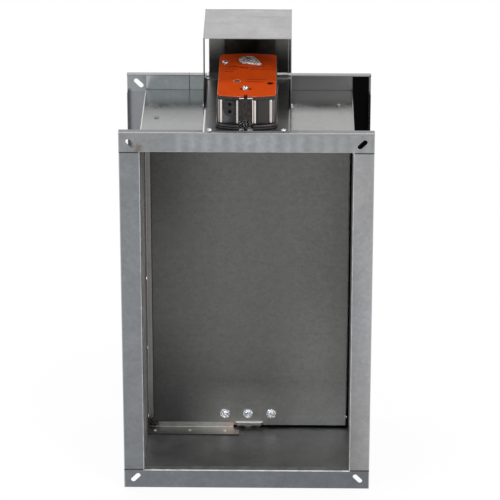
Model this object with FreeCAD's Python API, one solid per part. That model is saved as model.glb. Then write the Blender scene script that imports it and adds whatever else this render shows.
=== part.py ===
import FreeCAD, Part
import math
import os

# Rectangular fire damper with a spring-return drive under a sheet hood. Millimetres.
# The origin is the middle of the base. The front face looks along -Y, +Z is up and
# the blade turns about an upright shaft. The blade is drawn closed.

V = FreeCAD.Vector
UP = V(0, 0, 1)
RIGHT = V(1, 0, 0)
AWAY = V(0, 1, 0)

# Duct and flanges
opening_width = 300.0
opening_height = 500.0
duct_length = 250.0
flange_width = 30.0
flange_lip = 12.0
flange_collar = 12.0
flange_sheet = 1.5
casing_sheet = 1.5
bend_radius = 1.0
standing_edge = 1.5
joint_gap = 0.2
slot_width = 7.0
slot_length = 17.0
slot_inset = 17.0
splice_place = -88.0
splice_gap = 0.4

# Blade and the stops that it closes on
blade_thickness = 28.0
blade_setback = 33.0
blade_gap = 3.0
skin_sheet = 1.0
skin_split = 0.4
core_gap = 0.3
stop_leg = 26.0
stop_upstand = 10.0
stop_sheet = 1.5
stop_gap = 0.4
stop_centre_gap = 13.5
stop_notch = 8.5
mitre_gap = 2.5
seal_thickness = 1.8
seal_gap = 0.5
gasket_thickness = 3.0
gasket_gap = 0.3

# Shaft, pivot and their bushes
shaft_radius = 8.0
pin_radius = 7.0
running_gap = 0.05
bush_wall = 4.0
bush_rim = 6.0
bush_rim_thickness = 3.0
bush_rise = 8.0
seat_gap = 0.05
bracket_width = 96.0
bracket_height = 38.0
bracket_sheet = 3.0
bracket_gap = 0.2
bolt_pitch = 35.0
bolt_height = 19.0
bolt_radius = 3.0
bolt_head_width = 10.0
bolt_head_height = 4.0
washer_radius = 7.5
washer_thickness = 1.2
nut_height = 5.0
tongue_span = (-19.0, 22.5)
tongue_reach = 5.0
tongue_thickness = 4.5
tongue_chamfer = 3.0
boss_radius = 11.0

# Bridge that carries the drive, and the hood over it
bridge_width = 123.0
bridge_sheet = 2.0
bridge_end_gap = 3.0
bridge_leg_gap = 1.2
bridge_screw_pitch = 104.0
hood_sheet = 1.0
hood_gap = 0.3
hood_height = 105.0
hood_reach = 62.4
hood_depth = 129.4
hood_cheek_depth = 44.0
hood_cut_rise = 29.0
hood_corner_gap = 4.7
hood_skirt = 13.0
hood_foot = 12.0
hood_screw_drop = 6.0
hood_foot_pitch = 40.0

# Drive. Its places across and along are measured from the shaft
drive_width = 84.0
drive_length = 182.5
drive_reach = 148.0
drive_bow = 6.0
drive_corner = 8.0
base_height = 7.5
base_overhang = 2.0
base_chin = 3.5
housing_height = 36.5
cover_height = 3.5
label_thickness = 0.8
label_margin = 0.7
label_notch_width = 5.0
label_notch_depth = 9.0
label_notch_place = -1.2
bay_depth = 2.0
bay_margin = 1.0
left_bay = (-33.0, -15.2)
right_bay = (14.0, 31.2)
clip_span = (-10.2, 8.5)
clip_sheet = 1.5
clip_flange = 3.0
clip_gap = 0.3
strip_places = ((-39.7, 1.4), (-35.8, 2.8), (-13.1, 2.8), (11.8, 2.6), (34.3, 4.2), (38.3, 1.2))
strip_depth = 0.8
strip_rise = 0.7
grommet_place = -23.6
grommet_rise_height = 22.9
grommet_width = 16.0
grommet_height = 24.0
grommet_rise = 1.6
cable_pitch = 11.0
cable_radius = 2.0
hub_wall = 5.0
hub_gap = 0.4
pointer_thickness = 3.0
pointer_discs = ((0.0, 0.0, 13.0), (-5.0, -7.0, 6.5), (18.0, -19.0, 1.5))
pointer_lift = 0.7
override_place = (-14.0, -83.4)
override_radius = 4.0
override_depth = 14.0
override_hex = 5.0
hex_depth = 6.0
lock_place = (32.7, -92.5)
lock_radius = 3.2
lock_depth = 8.0
lock_groove = 1.2
turn_gap = 0.3
cover_screw_places = ((-32.8, -10.0), (-1.8, -116.2))
cover_screw_length = 3.0
drive_screw_places = ((-32.0, -128.0), (32.0, -128.0), (-32.0, 22.0), (32.0, 22.0))

# Small fasteners
rivet_radius = 2.0
rivet_head = 3.6
rivet_dome = 1.4
roof_rivet_insets = (19.5, 106.5)
floor_rivet_insets = (11.5, 64.0, 116.5)
wall_rivet_inset = 24.5
wall_rivet_count = 5
screw_radius = 2.0
screw_head = 4.0
screw_dome = 2.2

# Places worked out from the sizes above
half_opening = opening_width / 2
half_outer = half_opening + flange_width
duct_bottom = flange_width
duct_top = flange_width + opening_height
outer_top = opening_height + 2 * flange_width
mid_height = outer_top / 2
front = -duct_length / 2
rear = duct_length / 2
wall_in = half_opening + flange_sheet
wall_out = wall_in + casing_sheet
floor_in = duct_bottom - flange_sheet
floor_out = floor_in - casing_sheet
roof_in = duct_top + flange_sheet
roof_out = roof_in + casing_sheet
panel_front = front + flange_sheet + bend_radius
panel_rear = rear - flange_sheet - bend_radius
blade_front = blade_setback - blade_thickness / 2
blade_rear = blade_setback + blade_thickness / 2
blade_half = half_opening - blade_gap
blade_bottom = duct_bottom + blade_gap
blade_top = duct_top - blade_gap
stop_face = blade_front - stop_gap
axis_point = V(0, blade_setback, 0)
bridge_top = outer_top + bridge_sheet
hood_inner = bridge_width / 2 + hood_gap
hood_outer = hood_inner + hood_sheet
hood_top = bridge_top + hood_height
hood_front = blade_setback - hood_reach
hood_rear = hood_front + hood_depth
housing_bottom = bridge_top + base_height
cover_bottom = housing_bottom + housing_height
label_bottom = cover_bottom + cover_height
label_top = label_bottom + label_thickness
drive_front = blade_setback - drive_reach
hub_radius = shaft_radius + running_gap + hub_wall
hub_top = label_top + pointer_lift
bore_radius = hub_radius + hub_gap


def save(shape, name):
    """Writes one node as a STEP file."""
    shape.exportStep(os.path.join("parts", name + ".step"))


def box(x0, x1, y0, y1, z0, z1):
    """A block given by its two corners."""
    return Part.makeBox(x1 - x0, y1 - y0, z1 - z0, V(x0, y0, z0))


def post(x, y, z0, z1, radius):
    """An upright round bar."""
    return Part.makeCylinder(radius, z1 - z0, V(x, y, z0), UP)


def tube(x, y, z0, z1, outer, inner):
    """An upright round bar with a hole through it."""
    return post(x, y, z0, z1, outer).cut(post(x, y, z0 - 1, z1 + 1, inner))


def along_y(x, z, y0, y1, radius):
    """A round bar that runs front to back."""
    return Part.makeCylinder(radius, y1 - y0, V(x, y0, z), AWAY)


def prism(points, z0, z1):
    """An upright prism on a plan outline."""
    corners = [V(x, y, z0) for x, y in points]
    face = Part.Face(Part.makePolygon(corners + corners[:1]))
    return face.extrude(V(0, 0, z1 - z0))


def hexagon(x, y, z0, z1, across):
    """An upright hexagonal bar, measured across its flats."""
    reach = across / math.sqrt(3)
    turns = [math.radians(60 * i + 30) for i in range(6)]
    return prism([(x + reach * math.cos(a), y + reach * math.sin(a)) for a in turns], z0, z1)


def belt(discs, z0, z1):
    """An upright plate whose outline is a belt round discs, given anticlockwise."""
    sides = []
    for (xa, ya, ra), (xb, yb, rb) in zip(discs, discs[1:] + discs[:1]):
        span = math.hypot(xb - xa, yb - ya)
        turn = math.atan2(yb - ya, xb - xa) - math.acos((ra - rb) / span)
        normal = V(math.cos(turn), math.sin(turn), 0)
        sides.append((V(xa, ya, z0) + normal * ra, V(xb, yb, z0) + normal * rb, turn))
    edges = []
    for i, (x, y, r) in enumerate(discs):
        first, last = sides[i - 1], sides[i]
        sweep = (last[2] - first[2]) % (2 * math.pi)
        middle = first[2] + sweep / 2
        top = V(x + r * math.cos(middle), y + r * math.sin(middle), z0)
        edges.append(Part.Arc(first[1], top, last[0]).toShape())
        edges.append(Part.LineSegment(last[0], last[1]).toShape())
    return Part.Face(Part.Wire(edges)).extrude(V(0, 0, z1 - z0))


def mirror_x(shape):
    """The same piece on the other side of the middle."""
    return shape.mirror(V(0, 0, 0), RIGHT)


def mirror_y(shape):
    """The same piece at the other end of the duct."""
    return shape.mirror(V(0, 0, 0), AWAY)


def mirror_z(shape):
    """The same piece at the other end of the height."""
    return shape.mirror(V(0, 0, mid_height), UP)


def half_turn(shape):
    """The same piece on the other side of the blade's axis."""
    turned = shape.copy()
    turned.rotate(axis_point, UP, 180)
    return turned


def rounded_run(points, radii):
    """The edges of a flat path whose corners are arcs of the given radii."""
    edges = []
    start = points[0]
    for i in range(1, len(points) - 1):
        before = (points[i] - points[i - 1]).normalize()
        after = (points[i + 1] - points[i]).normalize()
        half = before.getAngle(after) / 2
        back = radii[i - 1] * math.tan(half)
        first = points[i] - before * back
        last = points[i] + after * back
        inward = (after - before).normalize()
        middle = points[i] + inward * (radii[i - 1] / math.cos(half) - radii[i - 1])
        edges.append(Part.LineSegment(start, first).toShape())
        edges.append(Part.Arc(first, middle, last).toShape())
        start = last
    edges.append(Part.LineSegment(start, points[-1]).toShape())
    return edges


def folded(path, thickness, side, place, run):
    """Folded sheet: a flat path, the sheet's thickness to one side of it, and the run."""
    count = len(path)
    offset = []
    for i in range(count):
        normals = []
        if i > 0:
            dx, dy = path[i][0] - path[i - 1][0], path[i][1] - path[i - 1][1]
            normals.append((-dy / math.hypot(dx, dy), dx / math.hypot(dx, dy)))
        if i < count - 1:
            dx, dy = path[i + 1][0] - path[i][0], path[i + 1][1] - path[i][1]
            normals.append((-dy / math.hypot(dx, dy), dx / math.hypot(dx, dy)))
        nx = sum(n[0] for n in normals)
        ny = sum(n[1] for n in normals)
        scale = side * thickness * len(normals) / (nx * nx + ny * ny)
        offset.append((path[i][0] + nx * scale, path[i][1] + ny * scale))
    near, far = [], []
    for i in range(1, count - 1):
        ax, ay = path[i][0] - path[i - 1][0], path[i][1] - path[i - 1][1]
        bx, by = path[i + 1][0] - path[i][0], path[i + 1][1] - path[i][1]
        inside = (ax * by - ay * bx) * side > 0
        near.append(bend_radius + thickness if inside else bend_radius)
        far.append(bend_radius if inside else bend_radius + thickness)
    first = [place(u, v) for u, v in path]
    second = [place(u, v) for u, v in reversed(offset)]
    edges = rounded_run(first, near)
    edges.append(Part.LineSegment(first[-1], second[0]).toShape())
    edges += rounded_run(second, far[::-1])
    edges.append(Part.LineSegment(second[-1], first[0]).toShape())
    return Part.Face(Part.Wire(edges)).extrude(run)


def slot_cutter(x, z, turn, y0, y1):
    """A slanted slot for a flange bolt, cut front to back."""
    reach = (slot_length - slot_width) / 2
    bar = box(-reach, reach, y0, y1, -slot_width / 2, slot_width / 2)
    bar = bar.fuse(along_y(-reach, 0, y0, y1, slot_width / 2))
    bar = bar.fuse(along_y(reach, 0, y0, y1, slot_width / 2)).removeSplitter()
    bar.rotate(V(0, 0, 0), AWAY, turn)
    bar.translate(V(x, 0, z))
    return bar


def top_flange():
    """Upper front profile: lip, web and collar, with a slanted slot at each end."""
    def place(start):
        return lambda u, v: V(start, u, v)
    lip_end = (front + flange_lip, outer_top)
    lip_fold = (front, outer_top)
    web_end = (front, duct_top)
    collar_end = (front + flange_collar, duct_top)
    middle = folded([lip_end, lip_fold, web_end, collar_end], flange_sheet, 1,
                    place(-half_opening), V(opening_width, 0, 0))
    for start in (-half_outer, half_opening):
        end = folded([lip_end, lip_fold, web_end], flange_sheet, 1,
                     place(start), V(flange_width, 0, 0))
        middle = middle.fuse(end)
    profile = middle.removeSplitter()
    for side in (-1, 1):
        slot = slot_cutter(side * (half_outer - slot_inset), outer_top - slot_inset,
                           -side * 45, front - 1, front + flange_sheet + 1)
        profile = profile.cut(slot)
    return profile


def side_flange():
    """Right front profile, which butts between the upper and lower ones."""
    low = duct_bottom + joint_gap
    path = [(half_outer, front + flange_lip), (half_outer, front),
            (half_opening, front), (half_opening, front + flange_collar)]
    return folded(path, flange_sheet, -1, lambda u, v: V(u, v, low),
                  V(0, 0, duct_top - joint_gap - low))


def flanges():
    """Four profiles at each end of the duct."""
    top = top_flange()
    right = side_flange()
    save(top, "front_flange_top")
    save(mirror_z(top), "front_flange_bottom")
    save(right, "front_flange_right")
    save(mirror_x(right), "front_flange_left")
    rear_top = mirror_y(top)
    cut_left = splice_place - splice_gap / 2
    cut_right = splice_place + splice_gap / 2
    save(rear_top.common(box(-half_outer, cut_left, 0, rear, mid_height, outer_top)),
         "rear_flange_top_left")
    save(rear_top.common(box(cut_right, half_outer, 0, rear, mid_height, outer_top)),
         "rear_flange_top_right")
    save(mirror_y(mirror_z(top)), "rear_flange_bottom")
    save(mirror_y(right), "rear_flange_right")
    save(mirror_y(mirror_x(right)), "rear_flange_left")


def casing():
    """Four wall panels. The side panels stand a little proud of the other two."""
    roof = box(-wall_in, wall_in, panel_front, panel_rear, roof_in, roof_out)
    roof = roof.cut(post(0, blade_setback, roof_in - 1, roof_out + 1,
                         shaft_radius + running_gap + bush_wall + seat_gap))
    floor = box(-wall_in, wall_in, panel_front, panel_rear, floor_out, floor_in)
    floor = floor.cut(post(0, blade_setback, floor_out - 1, floor_in + 1,
                           pin_radius + running_gap + bush_wall + seat_gap))
    side = box(wall_in, wall_out, panel_front, panel_rear,
               floor_out - standing_edge, roof_out + standing_edge)
    for x, y in cross_rivets(roof_rivet_insets):
        roof = roof.cut(post(x, y, roof_in - 1, roof_out + 1, rivet_radius + seat_gap))
    for x, y in cross_rivets(floor_rivet_insets):
        floor = floor.cut(post(x, y, floor_out - 1, floor_in + 1, rivet_radius + seat_gap))
    for y, z in wall_rivets(1):
        side = side.cut(rivet_hole_x(y, z))
    left = mirror_x(box(wall_in, wall_out, panel_front, panel_rear,
                        floor_out - standing_edge, roof_out + standing_edge))
    for y, z in wall_rivets(-1):
        left = left.cut(rivet_hole_x(y, z))
    save(roof, "top_panel")
    save(floor, "bottom_panel")
    save(side, "right_panel")
    save(left, "left_panel")


def rivet_hole_x(y, z):
    """A hole through both side walls' planes at one place."""
    return Part.makeCylinder(rivet_radius + seat_gap, 2 * wall_out + 2,
                             V(-wall_out - 1, y, z), RIGHT)


def stop_mid():
    """The middle of a front stop's leg, front to back."""
    return stop_face - (stop_leg + stop_sheet) / 2


def cross_rivets(insets):
    """Places of the rivets through the roof or the floor, for both stops there."""
    front_row = [(inset - wall_in, stop_mid()) for inset in insets]
    rear_row = [(-x, 2 * blade_setback - y) for x, y in front_row]
    return front_row + rear_row


def wall_rivets(side):
    """Places of the rivets through one side wall, as depth and height."""
    y = stop_mid() if side < 0 else 2 * blade_setback - stop_mid()
    step = (opening_height - 2 * wall_rivet_inset) / (wall_rivet_count - 1)
    return [(y, duct_bottom + wall_rivet_inset + step * i) for i in range(wall_rivet_count)]


def drill_stop(stop, insets):
    """Rivet holes through the leg of a stop on the floor."""
    for x, y in cross_rivets(insets):
        stop = stop.cut(post(x, y, floor_in - 1, floor_in + stop_sheet + 1,
                             rivet_radius + seat_gap))
    return stop


def mitre_block(low, high):
    """What a stop loses beside the 45 degree line out of the lower left corner."""
    reach = 2 * stop_upstand
    block = box(-reach, reach, stop_face - stop_leg - 1, stop_face + 1, low, high)
    block.rotate(V(0, 0, 0), AWAY, -45)
    block.translate(V(-wall_in, 0, floor_in))
    return block


def stops():
    """Folded angles: the left half closes against front ones, the right half against rear ones."""
    wall_path = [(-wall_in, stop_face - stop_leg), (-wall_in, stop_face),
                 (-wall_in + stop_upstand, stop_face)]
    wall = folded(wall_path, stop_sheet, -1, lambda u, v: V(u, v, floor_in),
                  V(0, 0, roof_in - floor_in))
    wall_end = mitre_block(-2 * stop_upstand, mitre_gap)
    wall = wall.cut(wall_end).cut(mirror_z(wall_end))
    for y, z in wall_rivets(-1):
        wall = wall.cut(rivet_hole_x(y, z))
    floor_path = [(stop_face - stop_leg, floor_in), (stop_face, floor_in),
                  (stop_face, floor_in + stop_upstand)]
    length = wall_in - stop_centre_gap
    angle = folded(floor_path, stop_sheet, 1, lambda u, v: V(-wall_in, u, v), V(length, 0, 0))
    angle = angle.cut(mitre_block(0, 2 * stop_upstand))
    angle = angle.cut(box(-stop_centre_gap - stop_notch, 0, stop_face - stop_sheet - bend_radius,
                          stop_face + 1, floor_in - 1, floor_in + stop_upstand + 1))
    floor = drill_stop(angle, floor_rivet_insets)
    roof = mirror_z(drill_stop(angle, roof_rivet_insets))
    save(wall, "front_stop_left")
    save(floor, "front_stop_bottom")
    save(roof, "front_stop_top")
    save(half_turn(wall), "rear_stop_right")
    save(half_turn(floor), "rear_stop_bottom")
    save(half_turn(roof), "rear_stop_top")


def heat_seals():
    """Thin strips that swell in a fire, on the walls round the blade's edge."""
    y0 = stop_face + seal_gap
    y1 = 2 * blade_setback - y0
    low = floor_in + seal_gap
    high = roof_in - seal_gap
    left = box(-wall_in, -wall_in + seal_thickness, y0, y1, low, high)
    rim = shaft_radius + running_gap + bush_wall + bush_rim + seal_gap
    reach = wall_in - seal_thickness - seal_gap
    half = box(-reach, -rim, y0, y1, floor_in, floor_in + seal_thickness)
    bottom = Part.makeCompound([half, mirror_x(half)])
    save(left, "heat_seal_left")
    save(mirror_x(left), "heat_seal_right")
    save(bottom, "heat_seal_bottom")
    save(mirror_z(bottom), "heat_seal_top")


def rivet(length):
    """A domed rivet that stands on its head's seat, with its tail the other way."""
    dome = Part.makeCone(rivet_head, rivet_head * 0.6, rivet_dome, V(0, 0, 0), UP)
    shank = Part.makeCylinder(rivet_radius, length, V(0, 0, -length), UP)
    tail = Part.makeCone(rivet_radius * 1.4, rivet_radius * 1.2, rivet_dome * 0.8,
                         V(0, 0, -length), V(0, 0, -1))
    return dome.fuse(shank).fuse(tail).removeSplitter()


def stop_rivets():
    """Rivets that hold the stops to the casing, with their domes outside."""
    length = casing_sheet + stop_sheet
    pieces = []
    for x, y in cross_rivets(roof_rivet_insets):
        piece = rivet(length)
        piece.translate(V(x, y, roof_out))
        pieces.append(piece)
    for x, y in cross_rivets(floor_rivet_insets):
        piece = rivet(length)
        piece.translate(V(x, y, roof_out))
        pieces.append(mirror_z(piece))
    for side in (-1, 1):
        for y, z in wall_rivets(side):
            piece = rivet(length)
            piece.rotate(V(0, 0, 0), AWAY, side * 90)
            piece.translate(V(side * wall_out, y, z))
            pieces.append(piece)
    save(Part.makeCompound(pieces), "stop_rivets")


def flange_gasket():
    """Black sealing strip on the inner face of the rear right flange."""
    y1 = rear - flange_sheet
    inset = flange_sheet + bend_radius + gasket_gap
    strip = box(wall_out + gasket_gap, half_outer - inset, y1 - gasket_thickness, y1,
                inset, outer_top - inset)
    save(strip, "flange_gasket")


def skin_front():
    """Front tray of the blade: a flat face with its four edges turned back."""
    depth = (blade_thickness - skin_split) / 2
    tray = box(-blade_half, blade_half, blade_front, blade_front + depth, blade_bottom, blade_top)
    hollow = box(-blade_half + skin_sheet, blade_half - skin_sheet,
                 blade_front + skin_sheet, blade_front + depth + 1,
                 blade_bottom + skin_sheet, blade_top - skin_sheet)
    return tray.cut(hollow)


def bolt_places():
    """Places of the blade's through bolts, three by the pivot and three by the shaft."""
    across = [-bolt_pitch, 0.0, bolt_pitch]
    low = [(x, blade_bottom + bolt_height) for x in across]
    return low + [(x, blade_top - bolt_height) for x in across]


def drill_blade(shape):
    """Holes for the through bolts."""
    for x, z in bolt_places():
        shape = shape.cut(along_y(x, z, blade_front - 1, blade_rear + 1, bolt_radius + seat_gap))
    return shape


def shaft_notch(z0, z1):
    """Room for the shaft or the pivot boss at the blade's edge."""
    return post(0, blade_setback, z0, z1, boss_radius + seal_gap)


def bracket():
    """Lower channel bracket: a base with a boss and a tongue, and a leg behind each skin."""
    y0 = blade_front + skin_sheet + bracket_gap
    y1 = blade_rear - skin_sheet - bracket_gap
    z0 = blade_bottom + skin_sheet + bracket_gap
    path = [(y0, z0 + bracket_height), (y0, z0), (y1, z0), (y1, z0 + bracket_height)]
    channel_shape = folded(path, bracket_sheet, 1, lambda u, v: V(-bracket_width / 2, u, v),
                           V(bracket_width, 0, 0))
    return drill_blade(channel_shape), z0


def blade():
    """Two steel trays on an insulating core, with a channel bracket at each end."""
    front_tray = drill_blade(skin_front())
    rear_tray = half_turn(front_tray)
    tongue_left, tongue_right = tongue_span
    tongue_slot = box(tongue_left - bracket_gap, tongue_right + bracket_gap,
                      blade_front - 1, blade_front + skin_sheet + bend_radius + bracket_gap,
                      blade_bottom - 1, blade_bottom + skin_sheet + bracket_gap + tongue_thickness
                      + bracket_gap)
    notches = shaft_notch(blade_bottom - 1, blade_bottom + skin_sheet + 1)
    notches = notches.fuse(shaft_notch(blade_top - skin_sheet - 1, blade_top + 1))
    front_tray = front_tray.cut(notches).cut(tongue_slot)
    rear_tray = rear_tray.cut(notches)
    channel_shape, z0 = bracket()
    boss = tube(0, blade_setback, floor_in + seal_thickness + turn_gap * 2, z0,
                boss_radius, pin_radius)
    pin_room = post(0, blade_setback, z0 - 1, z0 + bracket_sheet + 1, pin_radius)
    tongue_tip = blade_front - tongue_reach
    tongue_root = blade_front + skin_sheet + bracket_gap + bracket_sheet
    tongue = prism([(tongue_left, tongue_root), (tongue_left, tongue_tip + tongue_chamfer),
                    (tongue_left + tongue_chamfer, tongue_tip),
                    (tongue_right - tongue_chamfer, tongue_tip),
                    (tongue_right, tongue_tip + tongue_chamfer), (tongue_right, tongue_root)],
                   z0, z0 + tongue_thickness)
    lower = channel_shape.fuse(tongue).cut(pin_room).fuse(boss).removeSplitter()
    shaft_room = post(0, blade_setback, z0 - 1, z0 + bracket_sheet + 1, shaft_radius + seat_gap)
    upper = mirror_z(channel_shape.cut(shaft_room))
    block_low = z0 + bracket_sheet + bend_radius
    block_high = z0 + bracket_height
    block_half = shaft_radius + bracket_gap + 2 * bracket_sheet
    inner_y = blade_thickness / 2 - skin_sheet - bracket_gap - bracket_sheet - bracket_gap
    shaft_block = box(-block_half, block_half, blade_setback - inner_y, blade_setback + inner_y,
                      block_low, block_high)
    shaft_block = drill_blade(shaft_block)
    pin_block = shaft_block.cut(post(0, blade_setback, block_low - 1, block_high + 1,
                                     pin_radius + seat_gap))
    drive_block = mirror_z(shaft_block.cut(post(0, blade_setback, block_low - 1, block_high + 1,
                                                shaft_radius + seat_gap)))
    inset = skin_sheet + core_gap
    core = box(-blade_half + inset, blade_half - inset, blade_front + inset, blade_rear - inset,
               blade_bottom + inset, blade_top - inset)
    room = bracket_width / 2 + core_gap
    height = z0 + bracket_height + core_gap
    core = core.cut(box(-room, room, blade_front, blade_rear, blade_bottom, height))
    core = core.cut(box(-room, room, blade_front, blade_rear,
                        outer_top - height, blade_top))
    save(front_tray, "blade_front_skin")
    save(rear_tray, "blade_rear_skin")
    save(core, "blade_core")
    save(lower, "pivot_bracket")
    save(upper, "shaft_bracket")
    save(pin_block, "pivot_block")
    save(drive_block, "shaft_block")


def blade_bolts():
    """Hexagon bolts through the blade, with a washer under each head and a nut behind."""
    heads, washers, nuts = [], [], []
    for x, z in bolt_places():
        seat = blade_front - washer_thickness
        head = hexagon(0, 0, 0, bolt_head_height, bolt_head_width)
        head.rotate(V(0, 0, 0), RIGHT, 90)
        head.translate(V(x, seat, z))
        shank = along_y(x, z, seat, blade_rear + washer_thickness + nut_height + 1, bolt_radius)
        heads.append(head.fuse(shank).removeSplitter())
        for y0 in (seat, blade_rear):
            ring = along_y(x, z, y0, y0 + washer_thickness, washer_radius)
            washers.append(ring.cut(along_y(x, z, y0 - 1, y0 + washer_thickness + 1,
                                            bolt_radius + seat_gap)))
        nut = hexagon(0, 0, 0, nut_height, bolt_head_width)
        nut.rotate(V(0, 0, 0), RIGHT, -90)
        nut.translate(V(x, blade_rear + washer_thickness, z))
        nuts.append(nut.cut(along_y(x, z, blade_rear, blade_rear + 3 * nut_height,
                                    bolt_radius + seat_gap)))
    save(Part.makeCompound(heads), "blade_bolts")
    save(Part.makeCompound(washers), "blade_washers")
    save(Part.makeCompound(nuts), "blade_nuts")


def shafts():
    """Drive shaft above the blade, pivot pin below it and their flanged bushes."""
    z_in = blade_top - bracket_height
    shaft = post(0, blade_setback, z_in, hub_top, shaft_radius)
    centre = Part.makeCone(0, shaft_radius * 0.3, shaft_radius * 0.5,
                           V(0, blade_setback, hub_top - shaft_radius * 0.5), UP)
    save(drill_blade(shaft.cut(centre)), "drive_shaft")
    outer = shaft_radius + running_gap + bush_wall
    bush = post(0, blade_setback, roof_in - seal_thickness, roof_out + bush_rise, outer)
    rim = post(0, blade_setback, roof_out, roof_out + bush_rim_thickness, outer + bush_rim)
    bush = bush.fuse(rim).removeSplitter()
    save(bush.cut(post(0, blade_setback, roof_in - 9, roof_out + 99, shaft_radius + running_gap)),
         "shaft_bush")
    pin_low = floor_out - bush_rise - 1
    pin = post(0, blade_setback, pin_low, blade_bottom + bracket_height, pin_radius)
    save(drill_blade(pin), "pivot_pin")
    outer = pin_radius + running_gap + bush_wall
    bush = post(0, blade_setback, floor_out - bush_rise, floor_in + seal_thickness, outer)
    rim = post(0, blade_setback, floor_out - bush_rim_thickness, floor_out, outer + bush_rim)
    bush = bush.fuse(rim).removeSplitter()
    save(bush.cut(post(0, blade_setback, 0, floor_in + 99, pin_radius + running_gap)),
         "pivot_bush")


def dome_screw(x, y, z, shank):
    """A round-head screw that points down, with a cross recess."""
    head = Part.makeCone(screw_head, screw_head * 0.55, screw_dome, V(x, y, z), UP)
    body = head.fuse(post(x, y, z - shank, z, screw_radius)).removeSplitter()
    for turn in (0, 90):
        blade_cut = box(-screw_head * 0.5, screw_head * 0.5, -0.4, 0.4, 0, screw_dome)
        blade_cut.rotate(V(0, 0, 0), UP, turn)
        blade_cut.translate(V(x, y, z + screw_dome * 0.5))
        body = body.cut(blade_cut)
    return body


def from_shaft(places):
    """Places measured from the shaft, as places in the part."""
    return [(x, blade_setback + y) for x, y in places]


def bridge_screw_places():
    """The bridge's screws stand in the middle of the flange lips."""
    y = front + flange_lip / 2
    half = bridge_screw_pitch / 2
    return [(side * half, end * y) for side in (-1, 1) for end in (-1, 1)]


def bridge():
    """Folded channel laid across both flange lips and screwed to them."""
    half = bridge_width / 2
    end = -front - bridge_end_gap
    leg_end = -front - flange_lip - bracket_gap
    leg_low = roof_out + bridge_leg_gap
    path = [(-half, leg_low), (-half, bridge_top), (half, bridge_top), (half, leg_low)]
    shape = folded(path, bridge_sheet, -1, lambda u, v: V(u, -end, v), V(0, 2 * end, 0))
    for side in (-1, 1):
        for y0, y1 in ((-end - 1, -leg_end), (leg_end, end + 1)):
            shape = shape.cut(box(min(0, side * (half + 1)), max(0, side * (half + 1)),
                                  y0, y1, leg_low - 1, outer_top))
    holes = bridge_screw_places() + from_shaft(drive_screw_places)
    for x, y in holes:
        shape = shape.cut(post(x, y, outer_top - 1, bridge_top + 1, screw_radius + seat_gap))
    for x in (-hood_foot_pitch / 2, hood_foot_pitch / 2):
        shape = shape.cut(post(x, hood_rear - hood_foot / 2, outer_top - 1, bridge_top + 1,
                               screw_radius + seat_gap))
    shape = shape.cut(post(0, blade_setback, outer_top - 1, bridge_top + 1, bore_radius))
    save(shape, "drive_bridge")
    screws = [dome_screw(x, y, bridge_top, bridge_sheet) for x, y in bridge_screw_places()]
    save(Part.makeCompound(screws), "bridge_screws")


def hood():
    """Sheet hood over the rear of the drive: top, back, a cheek each side and a foot."""
    skirt_low = bridge_top - hood_skirt
    cheek_end = hood_front + hood_cheek_depth
    path = [(hood_front, hood_top), (hood_rear, hood_top), (hood_rear, bridge_top),
            (hood_rear - hood_foot, bridge_top)]
    shell = folded(path, hood_sheet, -1, lambda u, v: V(-hood_inner, u, v),
                   V(2 * hood_inner, 0, 0))
    outline = [(hood_front, skirt_low), (hood_front, hood_top), (hood_rear, hood_top),
               (hood_rear, hood_top - hood_sheet * 2), (cheek_end, hood_top - hood_sheet * 2),
               (cheek_end, bridge_top + hood_cut_rise), (hood_rear, bridge_top + hood_sheet * 2),
               (hood_rear, skirt_low)]
    corners = [V(hood_inner, y, z) for y, z in outline]
    cheek = Part.Face(Part.makePolygon(corners + corners[:1])).extrude(V(hood_sheet, 0, 0))
    shape = shell.fuse(cheek).fuse(mirror_x(cheek)).removeSplitter()
    corner = box(hood_outer - hood_corner_gap, hood_outer + 1, hood_rear - hood_sheet - bend_radius,
                 hood_rear + 1, bridge_top + hood_sheet * 2, hood_top - hood_sheet * 2)
    shape = shape.cut(corner).cut(mirror_x(corner))
    screws = []
    y = hood_front + hood_cheek_depth / 2
    z = bridge_top - hood_screw_drop
    shape = shape.cut(Part.makeCylinder(screw_radius + seat_gap, 2 * hood_outer + 2,
                                        V(-hood_outer - 1, y, z), RIGHT))
    for side in (-1, 1):
        screw = dome_screw(0, 0, 0, hood_sheet)
        screw.rotate(V(0, 0, 0), AWAY, side * 90)
        screw.translate(V(side * hood_outer, y, z))
        screws.append(screw)
    for x in (-hood_foot_pitch / 2, hood_foot_pitch / 2):
        y = hood_rear - hood_foot / 2
        shape = shape.cut(post(x, y, bridge_top - 1, bridge_top + 2 * hood_sheet,
                               screw_radius + seat_gap))
        screws.append(dome_screw(x, y, bridge_top + hood_sheet, hood_sheet + bridge_sheet))
    save(shape, "hood")
    save(Part.makeCompound(screws), "hood_screws")


def drive_plan(z0, z1, out, chin=0.0):
    """A layer of the drive: straight sides, bowed ends and rounded corners."""
    half = drive_width / 2 + out
    y0 = drive_front - out - chin
    y1 = drive_front + drive_length + out
    bow = drive_bow + chin
    a, b = V(half, y0 + bow, z0), V(half, y1 - drive_bow, z0)
    c, d = V(-half, y1 - drive_bow, z0), V(-half, y0 + bow, z0)
    edges = [
        Part.LineSegment(a, b).toShape(),
        Part.Arc(b, V(0, y1, z0), c).toShape(),
        Part.LineSegment(c, d).toShape(),
        Part.Arc(d, V(0, y0, z0), a).toShape(),
    ]
    layer = Part.Face(Part.Wire(edges)).extrude(V(0, 0, z1 - z0))
    upright = [e for e in layer.Edges if abs(e.tangentAt(e.FirstParameter).z) > 0.99]
    return layer.makeFillet(drive_corner + out, upright)


def front_at(x):
    """How far back the housing's bowed front lies at one place across it."""
    half = drive_width / 2
    radius = (half * half + drive_bow * drive_bow) / (2 * drive_bow)
    return drive_front + radius - math.sqrt(radius * radius - x * x)


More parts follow.
